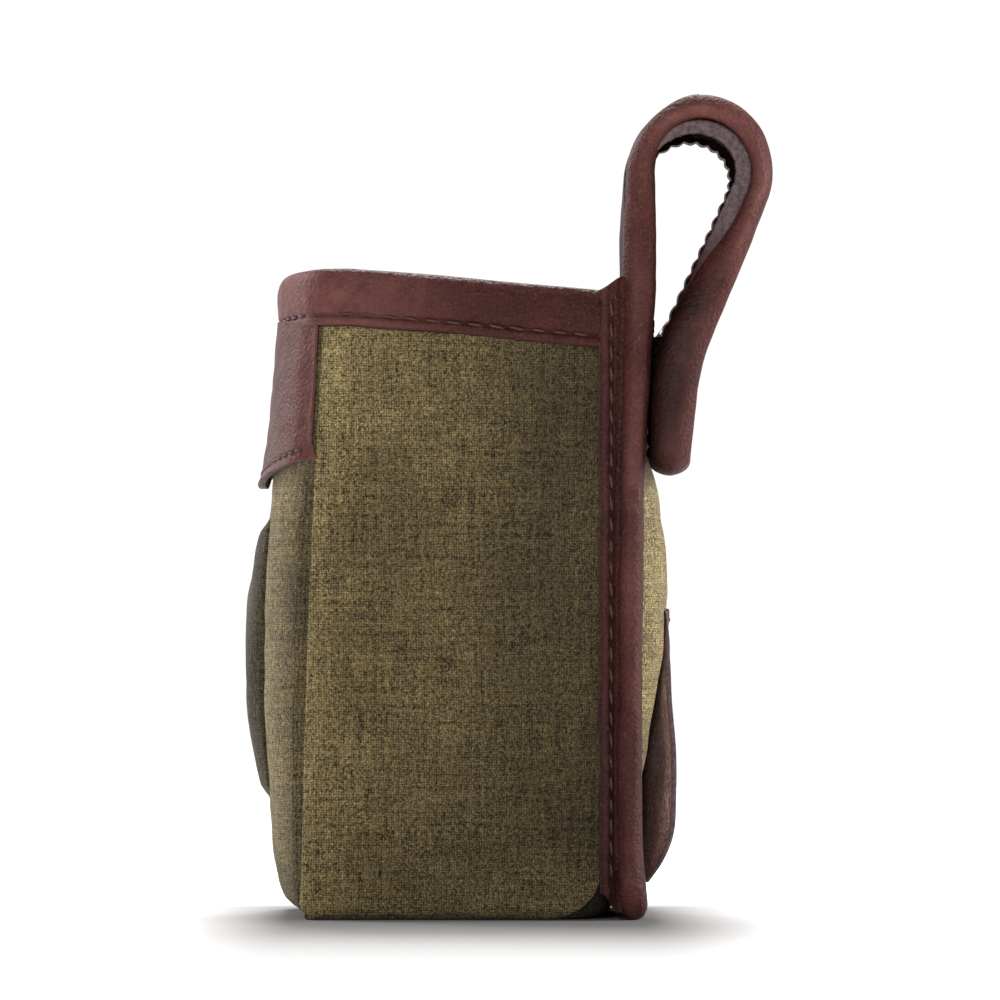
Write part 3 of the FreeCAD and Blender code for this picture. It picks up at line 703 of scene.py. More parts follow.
def front_canvas():
    x = crowded(HALF_WIDTH - 0.7, 0.45, 97)
    z = column(2.0, MOUTH_Z - LEATHER - 1.2, 128)
    x, z = np.broadcast_arrays(x, z)
    z = z - (mouth_z(HALF_WIDTH, -70.0) - mouth_z(x, -78.0)) * (z / MOUTH_Z) ** 3
    off = np.abs(x)
    # Paler over the front's bow, less so beside the pleat. Painted shade in the valleys by the corner seams
    # and round the pleat.
    wear_and_highlight = 0.75 * across_share(x, z) ** 2 * ease(4, 25, z) * (1 - 0.5 * ease(24, 12, off))
    beside = ease(27, 14, off) * ease(PLEAT_LOW - 8, PLEAT_LOW + 14, z)
    beside = beside * ease(PLEAT_TOP + 12, PLEAT_TOP - 12, z)
    dark = 0.7 * ease(HALF_WIDTH - 5, HALF_WIDTH - 1, off) + 0.55 * beside
    outer = as_points(x, front_y(x, z) + 0.35, z)
    return cloth_slab("front_canvas", outer, x, z, (0, 1, 0), wear_and_highlight, dark)


def pleat_canvas():
    half = PLEAT_HALF - 0.4
    x, z = np.broadcast_arrays(crowded(half, 0.55, 61), column(PLEAT_LOW, PLEAT_TOP, 60))
    flank = 1 - unit(np.abs(x) / half) ** 7
    uneven = 0.3 * ripple(x, z, 22, 61) * flank
    rise = pleat_rise(z) + 0.8
    ends = ease(0, 5, z - PLEAT_LOW) * ease(0, 5, PLEAT_TOP - z)
    # Painted shade on the pleat's flanks; the whole pleat is a little darker as well.
    dark = 0.30 + 0.9 * ease(0.40, 0.80, np.abs(x) / half) * ends
    outer_y = front_y(x * 0.9, z) + 0.6 * (1 - ends) - (rise + uneven) * flank * ends
    inner_y = np.maximum(front_y(x, z) + 0.5, outer_y + 0.7)
    marks = {"wear_and_highlight": 0 * rise, "dark": dark}
    return slab("pleat_canvas", as_points(x, outer_y, z), as_points(x, inner_y, z), x, z, CANVAS_LOOK, marks)


def bottom_canvas():
    """Floor of the pouch, with its back edge turned up."""
    half = HALF_WIDTH - 1.8
    x = row(-half, half, 60)
    middle = 1 - (x / half) ** 6
    radius = CORNER - 7.5 * middle
    flat = CORNER_Y + 3.0 * middle - radius - seam_y(0) - 0.3
    arc = radius * math.pi / 2
    run = 0.6 + (flat + arc + CORNER - 0.6) * column(0, 1, 90)
    turn = np.clip(run - flat, 0, arc) / radius
    y = seam_y(0) + np.minimum(run, flat) + radius * np.sin(turn)
    z = 0.15 + radius * (1 - np.cos(turn)) + np.clip(run - flat - arc, 0, None)
    outer = as_points(x, y, z)
    inner = as_points(x, y - CANVAS * np.sin(turn), z + CANVAS * np.cos(turn))
    # Painted shade over the whole bottom, which lies in the dark under the pouch.
    return slab("bottom_canvas", outer, inner, x, run, CANVAS_LOOK, {"wear_and_highlight": 0 * run, "dark": 0 * run + 1.3})


def strip_canvas(name, s_low, s_high, rows):
    """A stretch of the back panel and tongue's cloth."""
    x, s = np.broadcast_arrays(row(-HALF_WIDTH, HALF_WIDTH, 85), column(s_low, s_high, rows))
    swell = back_swell(x, s) - pocket_press(x, s)
    uneven = 0.12 * ripple(x, s, 12, 71)
    outer = bend(x, s, HALF_CLOTH - swell + uneven)
    inner = bend(x, s, -HALF_CLOTH - swell + uneven)
    # Painted highlight over the swell of the back's cloth.
    wear_and_highlight = 0.95 * ease(28, 50, s) * ease(112, 90, s)
    return slab(name, inner, outer, x, s, CANVAS_LOOK, {"wear_and_highlight": wear_and_highlight, "dark": 0 * wear_and_highlight})


# Leather over the back's and the tongue's edges

def u_path(half, end, radius, top, side_points=260):
    """Edge of a strip that ends at s = end: down one side, round the corners and up the other, as (x, s)."""
    down = 1 if top > end else -1
    side = np.linspace(top, end + down * radius, side_points)[:-1]
    left = as_points(-half, side)
    angle = np.linspace(0, math.pi / 2, 14)[:-1]
    arc = as_points(-half + radius * (1 - np.cos(angle)), end + down * radius * (1 - np.sin(angle)))
    across = as_points(np.linspace(-half + radius, half - radius, 110), end)
    right = np.concatenate([arc[::-1], left[::-1]]) * (-1, 1)
    return np.concatenate([left, arc, across, right])


def outward(path):
    """Unit normals of an edge path, which point away from the middle of the pouch."""
    along = np.gradient(path, axis=0)
    along /= np.linalg.norm(along, axis=1)[:, None]
    normal = np.stack([along[:, 1], -along[:, 0]], 1)
    return normal if normal[0, 0] * path[0, 0] > 0 else -normal


def travelled(places):
    """Length along a row of places, from its start."""
    steps = np.linalg.norm(np.diff(places, axis=0), axis=1)
    return np.concatenate([[0], np.cumsum(steps)])


def along_row(values, length, at):
    """Values of a row at other lengths along it."""
    return np.stack([np.interp(at, length, column_values) for column_values in values.T], 1)


def roll_section(high, low):
    """Section of leather folded over an edge, as (part, share of the leg or reach, n, cut edge) points.

    high and low are how far the roll stands out of the cloth's middle on each side.
    """
    face = HALF_CLOTH + LEATHER
    leg = ((1.0, HALF_CLOTH + 0.05, 1.0), (1.0, face - 0.25, 1.0), (0.94, face, 0.3),
           (SEAM_SHARE, face - 0.38, 0.0), (0.66, face, 0.0))
    crown = ((0.10, high), (0.62, 0.80 * high), (0.98, 0.36 * high - 0.15 * low), (0.90, -0.45 * low),
             (0.58, -0.82 * low), (0.10, -low))
    inside = (("minus", 0.5, -HALF_CLOTH), ("minus", 0.02, -HALF_CLOTH), ("plus", 0.02, HALF_CLOTH),
              ("plus", 0.5, HALF_CLOTH))
    plus_leg = [("plus", *point) for point in leg] + [("plus", 0.30, max(face - 0.1, high - 0.9), 0.0)]
    minus_leg = [("minus", 0.30, -max(face - 0.1, low - 0.9), 0.0)]
    minus_leg += [("minus", share, -n, cut) for share, n, cut in leg[::-1]]
    roll = [("out", share, n, 0.0) for share, n in crown]
    return plus_leg + roll + minus_leg + [(*point, 0.0) for point in inside]


def edge_roll(name, edge, plus, minus, high, low, seed, painted_shade):
    """Leather folded over an edge path. plus and minus are the matching paths of its two legs' ends.

    Its last argument is how much painted shade darkens its inner side, low down.
    """
    normal = outward(edge)
    reaches = {"plus": plus - edge, "minus": minus - edge, "out": normal * ROLL_REACH}
    rows = []
    for i in range(len(edge)):
        section = roll_section(high[i], low[i])
        points = [(*(edge[i] + reaches[part][i] * share), n) for part, share, n, _ in section]
        rows.append(smooth_loop(points, 5))
    grid = np.array(rows)
    raw = np.repeat([cut for *_, cut in section], 5)
    n = grid[:, :, 2]
    across = np.arange(grid.shape[1])[None, :] * 0.5
    along = travelled(edge)[:, None]
    uneven = 0.16 * ripple(along, across, 22, seed) + 0.05 * ripple(along, across, 7, seed + 1)
    n = n + np.sign(n) * uneven * unit((np.abs(n) - HALF_CLOTH) / 0.8)
    reach = np.einsum("ijk,ik->ij", grid[:, :, :2] - edge[:, None, :], normal)
    flat = grid[:, :, :2] + normal[:, None, :] * (uneven * 0.8 * unit(reach / 3.0))[:, :, None]
    placed = bend(flat[:, :, 0], flat[:, :, 1], n)
    height = placed[:, :, 2]
    # A painted highlight streak along the roll's crown, and painted light over the roll high up; the outer
    # crown is paler from rubbing.
    highlight_streak = bell(n - 1.0, 1.1) * unit(reach) * (0.55 + 0.5 * ripple(along, 0 * across, 16, seed + 3))
    wear_and_highlight = unit(reach / ROLL_REACH) ** 3 * (0.25 + 0.25 * ripple(along, across, 30, seed + 2))
    wear_and_highlight = wear_and_highlight + (0.08 * unit(reach) + 0.7 * highlight_streak) * ease(128, 156, height) + 0.12 * highlight_streak
    # Painted shade on the roll's inner side, low down.
    dark = painted_shade * ease(3.2, -3.4, n) * ease(146, 122, height)
    return sweep(name, placed, LEATHER_LOOK, {"raw": raw, "wear_and_highlight": unit(wear_and_highlight), "dark": dark}, caps=False)


def body_edge():
    """The binding round the back's foot, up both sides and over the front half of the fold."""
    edge = u_path(HALF_WIDTH, CLOTH_FOOT, 3.0, TOP_S)
    s = edge[:, 1]
    normal = outward(edge)
    leaf = ease(TONGUE_ROOT - 1.0, TONGUE_ROOT + 1.0, s)
    plus_leg = 0.8 + (LEAF_LEG - 0.8) * leaf
    plus = edge - normal * plus_leg[:, None]
    inset = u_path(HALF_WIDTH - BACK_LEG, CLOTH_FOOT + BACK_LEG, 2.0, TOP_S)
    return edge_roll("edge_binding", edge, plus, inset, curve(ROLL_OUT, s), curve(ROLL_IN, s), 81, 0.15)


def leaf_edge():
    """The binding over the rear half of the fold, down the hanging leaf and round its tail."""
    edge = u_path(HALF_WIDTH, TAIL_S, 3.0, TOP_S, 200)
    legs = u_path(HALF_WIDTH - LEAF_LEG, TAIL_S - LEAF_LEG, 1.0, TOP_S, 200)
    s = edge[:, 1]
    hanging = ease(200, 212, s)
    low = curve(ROLL_IN, s) * (1 - hanging) + curve(LEAF_IN, np.interp(s, PATH_S, PATH_Z)) * hanging
    return edge_roll("leaf_binding", edge, legs, legs, curve(ROLL_OUT, s), low, 91, 2.3)


def facing(name, side, s_low, s_high, count):
    """Strip of leather along the loop's inside, whose raw edge shows beside the roll."""
    section = smooth_loop([
        (2.0, 0.1), (2.2, 0.4), (1.9, 0.85), (1.2, 1.0), (-3, 1.0), (-8.8, 0.95), (-9.1, 0.8),
        (-9.0, 0.1), (-4, 0.0), (0, 0.0),
    ], 4)
    s = column(s_low, s_high, count)
    out, depth = section.T[:, None, :]
    n = -1.2 - depth * (curve(FACING_TIP, s) - 1.2)
    ruffle = 0.55 if side < 0 else 0.10
    lobes = np.abs(np.sin(math.pi * s / 3.7 + 0.8 * np.sin(s / 11.0)))
    n = n - ruffle * (lobes - 0.6) * unit((depth - 0.3) / 0.5)
    recess = 1.6 * ease(208, 226, s) + 1.5 * ease(TAIL_S - 2, TAIL_S + 3, s)
    grid = bend(side * (HALF_WIDTH + out - recess), s, n)
    raw = unit((out - 0.9) / 0.7) * ease(228, 212, s)
    # Painted shade over the whole facing, on the loop's shaded inside.
    return sweep(name, grid, LEATHER_LOOK, {"raw": raw, "wear_and_highlight": 0 * raw, "dark": 0 * raw + 0.6})


def flange(name, side):
    """The binding's flat leg on a side panel. Its ends are cut on a slant."""
    section = smooth_loop([
        (0.02, -8.6), (0.9, -8.75), (1.55, -8.45), (1.75, -7.5), (1.62, -6.7), (1.32, FLANGE_SEAM_Y),
        (1.66, -5.4), (1.78, -4.9), (1.35, -3.9), (1.2, -2.6), (0.0, -2.4), (-0.5, -4.0), (-0.45, -7.0),
    ], 4)
    out, y = section.T[:, None, :]
    low = 1.6 + 4.4 * ease(-4.2, -8.8, y)
    high = TONGUE_ROOT + 1.6 - 3.0 * ease(-3.6, -8.8, y)
    z = low + (high - low) * column(0, 1, 260)
    uneven = 0.10 * ripple(z, y * 3, 13, 101) + 0.05 * ripple(z, y * 3, 4, 102)
    dimple = 0.14 * (1 + np.cos(2 * math.pi * z / STITCH_PITCH)) * bell(y - FLANGE_SEAM_Y, 0.55)
    x = HALF_WIDTH + 0.5 + out + (uneven - dimple) * unit((out - 0.6) / 0.6)
    wander = 0.35 * ripple(z, z * 0, 40, 103) * ease(-5.0, -8.6, y)
    shift = 0.72 * curve(BACK_SHIFT, z) * ease(-6.5, -3.5, y)
    marks = {
        "raw": 0.55 * bell(y + 8.75, 0.25),
        "wear_and_highlight": 0.2 * bell(y + 7.4, 0.6),
        "dark": 0.60 * ease(TONGUE_ROOT + 1, TONGUE_ROOT - 22, z),
    }
    return sweep(name, as_points(side * x, y + wander + shift, z), LEATHER_LOOK, marks)


# The rim, the yoke and the pocket

def mouth_path(step=0.7):
    """Outer faces of the panels at the mouth, from the right back corner round to the left, as (x, y)."""
    level = MOUTH_Z - 5
    side_y = np.linspace(RIM_BACK_Y - 0.1, float(seam_y(level)) + 1.0, 60)
    side = as_points(HALF_WIDTH + 0.1, side_y)
    x = np.linspace(HALF_WIDTH, -HALF_WIDTH, 160)
    front = as_points(x, seam_y(level) - curve(LOBE, level) * across_share(x, level))
    path = np.concatenate([side, front, (side * (-1, 1))[::-1]])
    length = travelled(path)
    even = np.arange(0, length[-1], step)
    path = along_row(path, length, even)
    for _ in range(round(18 / step**2)):
        path[1:-1] = 0.25 * path[:-2] + 0.5 * path[1:-1] + 0.25 * path[2:]
    return path


def rim_leather():
    """Leather folded over the mouth's edge. Its section is (out of the panels, up from the rim's top)."""
    path = mouth_path()
    normal = outward(path)
    section = smooth_loop([
        (0.35, -RIM_HEIGHT), (1.2, -12.15), (2.05, -11.9), (2.2, -11.2), (2.12, -10.6), (1.62, -9.9),
        (2.1, -9.0), (2.3, -6.0), (2.25, -3.2), (1.75, -1.2), (0.6, -0.15), (-0.9, 0.0), (-2.4, -0.55),
        (-3.2, -2.2), (-3.4, -5.0), (-3.45, -11.5), (-2.9, -RIM_HEIGHT), (-1.9, -11.9), (-1.75, -6.0),
        (-1.6, -2.6), (-0.8, -1.9), (0.1, -2.6), (0.3, -6.0),
    ], 4)
    out, height = section.T[:, None, :]
    length = travelled(path)[:, None]
    y = path[:, 1:]
    skin = unit((out - 1.0) / 0.8)
    uneven = 0.20 * ripple(length, height, 17, 111) + 0.09 * ripple(length, height, 5, 112)
    dimple = 0.16 * (1 + np.cos(2 * math.pi * length / STITCH_PITCH)) * bell(height + RIM_SEAM, 0.6)
    out = out + (uneven - dimple) * skin
    top = mouth_z(path[:, :1], y) + 0.25 * ripple(length, length * 0, 45, 114)
    hem = 0.35 * ripple(length, length * 0, 26, 113) * ease(-7, -12, height) * bell(y + 45, 30)
    flat = path[:, None, :] + normal[:, None, :] * out[:, :, None]
    edge = bell(height + 12.05, 0.28) * unit(out / 0.5)
    # Paler along the top fold; painted highlight towards the front, where the rim turns to the light. Painted
    # shade towards the back, and darker along the stitch row.
    wear_and_highlight = 0.4 * bell(height + 0.7, 0.9) * unit(out) + 0.75 * ease(-30, -68, y) * skin
    marks = {
        "raw": edge * (0.25 + 0.75 * ease(-66, -70, y)),
        "wear_and_highlight": unit(wear_and_highlight),
        "dark": 0.26 * ease(-58, -30, y) + 0.4 * bell(height + RIM_SEAM, 0.4) * skin,
    }
    grid = as_points(flat[:, :, 0], flat[:, :, 1], top + height + hem)
    return sweep("rim_leather", grid, LEATHER_LOOK, marks)


def yoke_low(x):
    return YOKE_MIDDLE_Z + (YOKE_SIDE_Z - YOKE_MIDDLE_Z) * (np.abs(x) / HALF_WIDTH) ** 2


def yoke_y(x, z):
    """Outer face of the yoke. It curls away from the canvas at its lower edge."""
    curl = 1.1 * np.exp(-(z - yoke_low(x)) / 2.6)
    return front_y(x, z) - LEATHER - 0.15 - curl * across_share(x, z) ** 0.5


def yoke_leather():
    """The leather across the top of the front, with its raw lower edge."""
    x, up = np.broadcast_arrays(crowded(HALF_WIDTH + 0.15, 0.5, 121), column(0, 1, 64) ** 1.25)
    z = yoke_low(x) + (MOUTH_Z - RIM_HEIGHT + 0.6 - yoke_low(x)) * up
    above = z - yoke_low(x)
    y = yoke_y(x, z) - 0.12 * ripple(x, z, 8, 122)
    groove = 0.28 * bell(above - YOKE_SEAM, 0.6)
    pared = 1.15 * ease(HALF_WIDTH - 4.5, HALF_WIDTH, np.abs(x))
    outer = as_points(x, y + groove + pared, z)
    raw = np.where(up < 0.004, 1.0, 0.0)
    # Paler over the front's middle and along the lower edge; the paling towards both sides is painted
    # highlight.
    wear_and_highlight = 0.55 * across_share(x, z) ** 3 * (0.6 + 0.4 * ripple(x * 3, z, 12, 123)) + 0.3 * np.exp(-above)
    wear_and_highlight = wear_and_highlight + 0.45 * ease(20, 34, np.abs(x))
    marks = {"raw": raw, "wear_and_highlight": unit(wear_and_highlight)}
    return slab("yoke_leather", outer, as_points(x, y + LEATHER, z), x, z, LEATHER_LOOK, marks, 0.3)


def pocket_y(x, z):
    """Outer face of the rear pocket, sewn down at -x and standing off at +x."""
    cloth = HALF_CLOTH + back_swell(x, z) - pocket_press(x, z) + curve(BACK_SHIFT, z)
    lying = cloth + pocket_thickness(z) + 0.1
    free = ease(6, POCKET_HALF + 8, x) / ease(6, POCKET_HALF + 8, POCKET_HALF)
    open_share = 0.16 * ease(-20, 8, x) + 0.84 * free
    return lying + np.maximum(curve(POCKET_BOW, z) - lying, 0) * open_share


def pocket_leather():
    rows, cols = 80, 70
    x, z = np.broadcast_arrays(row(-POCKET_HALF, POCKET_HALF, cols),
                               column(POCKET_LOW - 0.6, POCKET_TOP + 0.6, rows))
    corner_cut = 2.6 * ease(POCKET_LOW + 6, POCKET_LOW - 1, z) ** 2 * ease(10, POCKET_HALF, x)
    y = pocket_y(x, z) + 0.25 * ripple(x, z, 21, 131) * ease(-20, 10, x)
    thickness = pocket_thickness(z) * (1 - 0.4 * ease(POCKET_HALF - 4, POCKET_HALF, x))
    outer = as_points(x - corner_cut, y, z)
    inner = as_points(x - corner_cut, y - thickness, z)
    raw = ease(POCKET_HALF - 0.8, POCKET_HALF - 0.1, x)
    piece = slab("pocket_leather", outer, inner, x, z, LEATHER_LOOK, {"raw": raw, "wear_and_highlight": raw * 0}, 0.3)
    piece.data.materials.append(FLESH_LOOK)
    count = (rows - 1) * (cols - 1)
    flesh = [0] * count + [1] * count + [0] * (len(piece.data.polygons) - 2 * count)
    piece.data.polygons.foreach_set("material_index", flesh)
    return piece


# Tapes, fibres and thread

def tape(name, s_low, s_high, thickness, material, seed):
    """A tape on the strip's inner face, thinner at its edges and uneven between them."""
    x, s = np.broadcast_arrays(row(-TAPE_HALF, TAPE_HALF, 90), column(s_low, s_high, 46))
    tufts = 0.22 * ripple(x, s, 2.6, seed) + 0.25 * ripple(x, s, 9, seed + 1)
    margin = ease(0, 1.6, TAPE_HALF - np.abs(x))
    margin = margin * ease(0, 1.6, s - s_low) * ease(0, 1.6, s_high - s)
    near = bend(x, s, -HALF_CLOTH)
    far = bend(x, s, -HALF_CLOTH - thickness * (0.45 + 0.55 * margin) + tufts * margin)
    return slab(name, far, near, x, s, material, {}, 0.2)


def tube_faces(start, rings, sides):
    """Faces of a capped tube, whose rings of points turn clockwise when seen from its start."""
    faces = []
    for low in range(start, start + (rings - 1) * sides, sides):
        for j in range(sides):
            after = (j + 1) % sides
            faces.append((low + j, low + after, low + sides + after, low + sides + j))
    last = start + (rings - 1) * sides
    return faces + [tuple(range(start, start + sides))[::-1], tuple(range(last, last + sides))]


def fibres(name, count, place, seed, material):
    """Short curled fibres. place(random) gives a root, a direction and a length."""
    random = np.random.default_rng(seed)
    rings = 5
    sides = 3
    points = []
    faces = []
    for _ in range(count):
        root, heading, length = place(random)
        heading = np.array(heading, float) + random.normal(0, 0.28, 3)
        heading /= np.linalg.norm(heading)
        curl = random.normal(0, 0.22, 3)
        radius = random.uniform(0.08, 0.12)
        side = np.cross(heading, (0.3, 0.5, 0.8))
        side /= np.linalg.norm(side)
        other = np.cross(heading, side)
        faces += tube_faces(len(points), rings, sides)
        for t in np.linspace(0, 1, rings):
            middle = np.array(root) + heading * length * t + curl * length * t * t
            for angle in np.arange(sides) * 2 * math.pi / sides:
                spoke = side * math.cos(angle) + other * math.sin(angle)
                points.append(middle + radius * (1 - 0.5 * t) * spoke)
    return mesh(name, points, faces, material)


def stitch_row(name, rows, slant=0.22, pitch=STITCH_PITCH, radius=THREAD):
    """Stitches along rows of (places, outward directions). Each is a short rounded bar with sunk ends."""
    rings = 7
    sides = 8
    points = []
    faces = []
    random = np.random.default_rng(len(name))
    for places, outs in rows:
        length = travelled(places)
        ends = np.linspace(0, length[-1], max(2, round(length[-1] / pitch)) + 1)
        at = along_row(places, length, ends)
        for a, b, out in zip(at, at[1:], along_row(outs, length, ends)):
            run = b - a
            along = run / np.linalg.norm(run)
            out = out - along * (out @ along)
            out /= np.linalg.norm(out)
            side = np.cross(along, out)
            tilt = slant + random.normal(0, 0.09)
            reach = 0.40 * np.linalg.norm(run) * random.uniform(0.93, 1.05)
            faces += tube_faces(len(points), rings, sides)
            for t in np.linspace(-1, 1, rings):
                full = math.sqrt(max(1 - abs(t) ** 3.2, 0.05))
                centre = (a + b) / 2 + along * reach * t + side * tilt * reach * t * 0.45
                centre = centre + out * (radius * 0.30 - 0.85 * radius * t * t)
                for angle in np.arange(sides) * 2 * math.pi / sides:
                    spoke = out * math.cos(angle) * 0.85 + side * math.sin(angle)
                    points.append(centre + radius * full * spoke)
    return mesh(name, points, faces, THREAD_LOOK)


def tape_fuzz():
    """Black fibres pulled out of the tape, caught beside the leaf's rolled edge."""
    def place(random):
        z = TAPE_TOP - random.uniform(5.5, 14.0)
        root = (random.uniform(-TAPE_HALF, TAPE_HALF), HALF_CLOTH + 1.8, z)
        return root, (0.1, 1.0, 0.08), random.uniform(2.0, 4.8)

    return fibres("tape_fuzz", 900, place, 161, LINT_LOOK)


def rim_thread():
    path = mouth_path(2.0)
    normal = outward(path)
    flat = path + normal * 1.75
    places = as_points(flat[:, 0], flat[:, 1], mouth_z(path[:, 0], path[:, 1]) - RIM_SEAM)
    return stitch_row("rim_thread", [(places[1:-1], as_points(normal[:, 0], normal[:, 1], 0)[1:-1])])


def flange_thread(name, side):
    z = np.linspace(TONGUE_ROOT - 3, 8.5, 60)
    places = as_points(side * (HALF_WIDTH + 1.86), FLANGE_SEAM_Y, z)
    return stitch_row(name, [(places, as_points(side, 0, 0 * z))], slant=-0.25)


def yoke_thread():
    x = np.linspace(HALF_WIDTH - 1.2, -HALF_WIDTH + 1.2, 80)
    z = yoke_low(x) + YOKE_SEAM
    places = as_points(x, yoke_y(x, z) + 0.15, z)
    outs = as_points(np.gradient(places[:, 1], x), -1, 0)
    return stitch_row("yoke_thread", [(places, outs)], pitch=FINE_PITCH, radius=0.33)


def pocket_thread():
    inset = POCKET_HALF - 2.2
    top = POCKET_TOP - 1.6
    low = POCKET_LOW + 1.3
    x = np.linspace(-inset, inset, 30)
    rows = []
    for row_x, z in ((-inset, np.linspace(POCKET_LOW + 1.5, top, 30)), (x - 2, top), (x, low)):
        places = as_points(row_x, pocket_y(row_x, z), z)
        rows.append((places, np.tile((0.0, 1.0, 0.0), (30, 1))))
    return stitch_row("pocket_thread", rows)


def strip_row(x, s, n):
    """A row of stitches over the strip's face at n, along x or along s."""
    places = bend(x, s, n)
    return places, bend(x, s, n + np.sign(n)) - places


def down_both_sides(inset, s_low, s_high, n):
    s = np.linspace(s_low, s_high, 90)
    return [strip_row(side * inset, s, n) for side in (-1, 1)]


def leaf_thread():
    inset = HALF_WIDTH - SEAM_SHARE * LEAF_LEG
    foot = TAIL_S - SEAM_SHARE * LEAF_LEG
    rows = down_both_sides(inset, TOP_S + 1, foot - 1.5, SEAM_LEVEL)
    rows.append(strip_row(np.linspace(-inset + 1.5, inset - 1.5, 50), foot, SEAM_LEVEL))
    return stitch_row("leaf_thread", rows + down_both_sides(inset, TOP_S + 1, foot - 1.5, -SEAM_LEVEL))


def back_thread():
    """Seams of the front half of the fold, and of the back's binding below it."""
    rows = down_both_sides(HALF_WIDTH - SEAM_SHARE * LEAF_LEG, TONGUE_ROOT + 2, TOP_S - 1, SEAM_LEVEL)
    rows += down_both_sides(HALF_WIDTH - SEAM_SHARE * BACK_LEG, CLOTH_FOOT + 6, TOP_S - 1, -SEAM_LEVEL)
    return stitch_row("back_thread", rows)


def tape_thread():
    x = np.linspace(1.5 - TAPE_HALF, TAPE_HALF - 1.5, 50)
    rows = [strip_row(x, s, -HALF_CLOTH - 2.0) for s in (TAPE_LOW + 1.2, TAPE_TOP - 1.2)]
    return stitch_row("tape_thread", rows, radius=0.3)


# Build the pieces, hide the CAD nodes they replace and tie most of them to the pouch


def dress(piece, slot, *nodes, upper=False, lower=False):
    """Hides the CAD nodes a piece stands for, then ties the piece to the pouch or, if it is upper or lower,
    bakes its place into its points. The slot argument, its finish, is not used.
    """
    if nodes:
        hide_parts(*nodes)
    if upper:
        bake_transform(piece)
    elif lower:
        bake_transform(piece)
    else:
        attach(piece, "pouch")
    return piece


def build_pouch():
    for name, side in (("right", 1), ("left", -1)):
        dress(side_canvas(f"side_canvas_{name}", side), "canvas", f"side_panel_{name}")
        dress(flange(f"side_flange_{name}", side), "leather")
        dress(flange_thread(f"flange_thread_{name}", side), "thread", f"binding_stitches_{name}")
    front = dress(front_canvas(), "canvas", "front_panel")
    pleat = dress(pleat_canvas(), "canvas", "front_pleat")
    bottom = dress(bottom_canvas(), "canvas", "bottom_panel")
    back = strip_canvas("back_canvas", CLOTH_FOOT, TOP_S, 176)
    dress(back, "canvas", "back_panel", "fold_cloth", upper=True)
    leaf = dress(strip_canvas("leaf_canvas", TOP_S, TAIL_S, 96), "canvas", "flap_cloth", lower=True)
    dress(body_edge(), "leather", "binding_right", "binding_left", "binding_bottom", "fold_binding_right",
          "fold_binding_left", upper=True)
    dress(leaf_edge(), "leather", "flap_binding", lower=True)
    dress(rim_leather(), "leather", "rim_binding")
    dress(yoke_leather(), "leather", "front_yoke")
    dress(pocket_leather(), "suede", "rear_pocket")
    for name, side in (("right", 1), ("left", -1)):
        dress(facing(f"loop_facing_front_{name}", side, FOLD_Z + 1, TOP_S, 130), "leather", upper=True)
        dress(facing(f"loop_facing_rear_{name}", side, TOP_S, TAIL_S + 2.5, 420), "leather", lower=True)
    dress(rim_thread(), "thread", "rim_stitches")
    dress(yoke_thread(), "thread", "yoke_stitches")
    dress(pocket_thread(), "thread", "pocket_stitches")
    dress(leaf_thread(), "thread", "flap_stitches", lower=True)
    dress(back_thread(), "thread", upper=True)
    dress(tape_thread(), "thread", "soft_tape_stitches")
    dress(tape_fuzz(), "loop_tape")
    dress(tape("loop_tape", TAPE_LOW, TAPE_TOP, LOOP_TAPE, LOOP_LOOK, 141), "loop_tape", "soft_tape")
    hook_start = s_at_height(HOOK_TOP + 7)
    hooks = tape("hook_tape_face", hook_start, s_at_height(HOOK_LOW), HOOK_TAPE, HOOK_LOOK, 151)
    dress(hooks, "hook_tape", "hook_tape", lower=True)


# Surroundings

ROOM_LIGHT = 0.17
BACKDROP_LIGHT = 1.05
BACKDROP_EDGE = (-0.97, -0.80)   # x of the directions between which the one fades into the other
FLOOR_COLOUR = (0.27, 0.26, 0.255, 1)
WHITE = (1, 1, 1, 1)
# The floor glows away from the pouch and not near it, which paints a shadow round the pouch.
GLOW_START = 0.003         # metres from the pouch, on the floor
GLOW_FULL = 0.036
FRONT_FADE = 0.09          # the painted shadow, where the floor doesn't glow, reaches further towards the camera than to its sides
AIM_HEIGHT = 0.09
# name, place and size in metres, and power in watts
LIGHTS = (
    ("light_behind", (-0.05, 0.98, 0.42), 0.5, 12.0),
    ("light_front", (-0.55, -0.80, 0.50), 0.5, 8.5),
    ("light_above", (-0.62, 0.0, 0.95), 0.4, 16.0),
    ("light_near", (1.68, -0.25, 0.45), 0.8, 12.5),
)


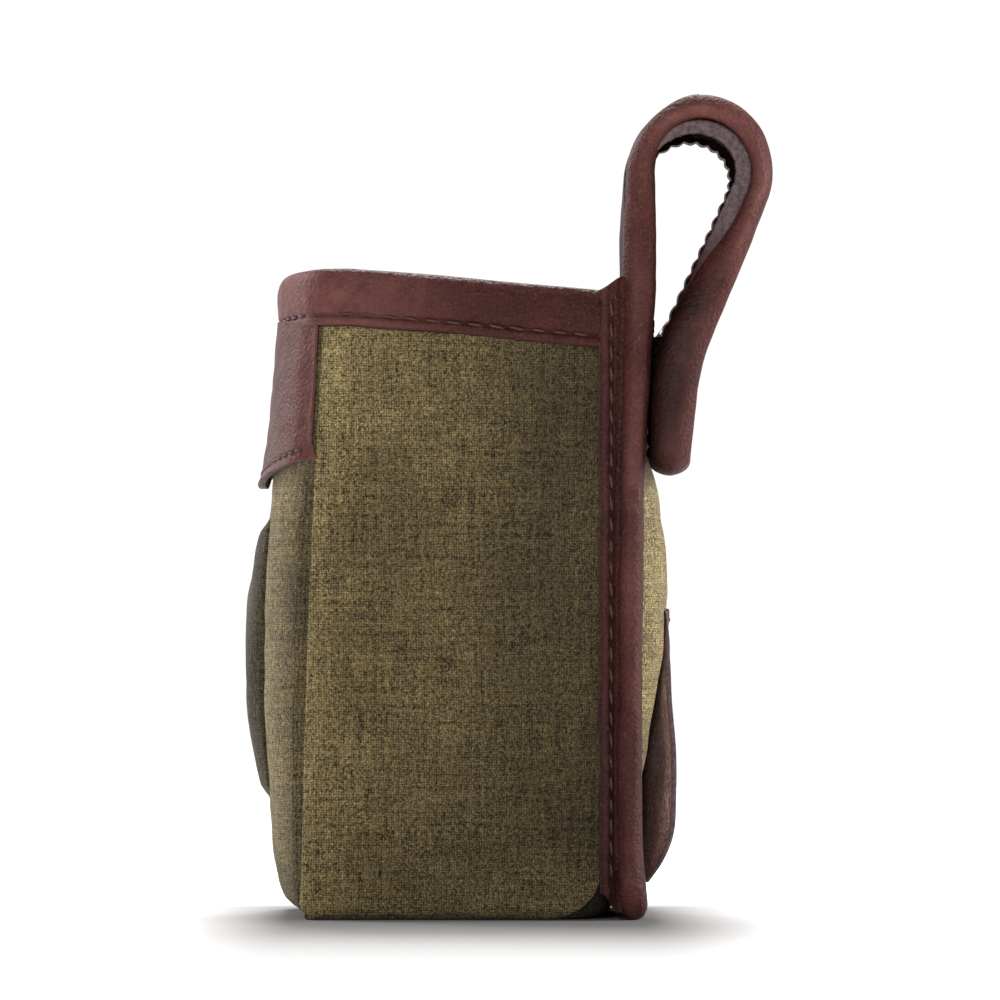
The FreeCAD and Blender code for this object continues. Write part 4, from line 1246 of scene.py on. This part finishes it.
def floor_material():
    """White paper. Further out it glows as bright as the wall behind, so that no horizon shows; near the
    pouch it doesn't glow, which paints a shadow round it, longest towards the camera.
    """
    material, tree, shader = node_tree("pale_floor")
    x, y, _ = split(tree, coordinates(tree))
    half_depth = -float(seam_y(0)) / 2 * MM
    near_x = calculate(tree, "SUBTRACT", x, HALF_WIDTH * MM)
    far_x = calculate(tree, "SUBTRACT", times(tree, x, -1.0), HALF_WIDTH * MM)
    off_x = times(tree, calculate(tree, "MAXIMUM", near_x, 0.0), FRONT_FADE)
    off_x = plus(tree, off_x, calculate(tree, "MAXIMUM", far_x, 0.0))
    from_middle = calculate(tree, "ABSOLUTE", calculate(tree, "SUBTRACT", y, BACK_Y * MM - half_depth))
    off_y = calculate(tree, "MAXIMUM", calculate(tree, "SUBTRACT", from_middle, half_depth), 0.0)
    away = calculate(tree, "SQRT", plus(tree, times(tree, off_x, off_x), times(tree, off_y, off_y)))
    set_inputs(tree, shader, {
        "Base Color": FLOOR_COLOUR,
        "Roughness": 0.9,
        "Specular IOR Level": 0.2,
        "Emission Color": WHITE,
        # Glow away from the pouch only: a painted shadow round it.
        "Emission Strength": span(tree, away, GLOW_START, GLOW_FULL),
    })
    return material


def white_room():
    """Surroundings that are brightest behind the pouch, towards -X."""
    world = bpy.data.worlds.new("white_room")
    world.use_nodes = True
    tree = world.node_tree
    x = split(tree, coordinates(tree, "Generated"))[0]
    strength = span(tree, x, *BACKDROP_EDGE, BACKDROP_LIGHT, ROOM_LIGHT)
    set_inputs(tree, tree.nodes["Background"], {"Color": WHITE, "Strength": strength})
    bpy.context.scene.world = world


def studio():
    """Pale floor, white surroundings and soft lights on both sides and above."""
    data = bpy.data.meshes.new("floor")
    far = 8.0
    data.from_pydata([(-far, -far, 0), (far, -far, 0), (far, far, 0), (-far, far, 0)], [], [(0, 1, 2, 3)])
    floor = bpy.data.objects.new("floor", data)
    bpy.context.scene.collection.objects.link(floor)
    data.materials.append(floor_material())
    white_room()
    for name, place, size, power in LIGHTS:
        light = bpy.data.lights.new(name, "AREA")
        light.shape = "SQUARE"
        light.size = size
        light.energy = power
        lamp = bpy.data.objects.new(name, light)
        lamp.location = place
        aim = Vector((0, 0, AIM_HEIGHT)) - Vector(place)
        lamp.rotation_euler = aim.to_track_quat("-Z", "Y").to_euler()
        bpy.context.scene.collection.objects.link(lamp)


def camera():
    """A long lens that looks along -X at the pouch's right side, from just above half its height."""
    data = bpy.data.cameras.new("camera")
    distance = 2.70
    seen_width = 0.215
    middle_y = -0.0018
    height = 0.0905
    data.sensor_width = 36.0
    data.lens = data.sensor_width * (distance - (HALF_WIDTH + ROLL_REACH) * MM) / seen_width
    data.clip_start = 0.01
    data.clip_end = 50.0
    eye = bpy.data.objects.new("camera", data)
    eye.location = (distance, middle_y, height)
    eye.rotation_euler = (math.pi / 2, 0, math.pi / 2)
    bpy.context.scene.collection.objects.link(eye)
    bpy.context.scene.camera = eye


bpy.context.scene.view_settings.view_transform = "Standard"
studio()
camera()
build_pouch()
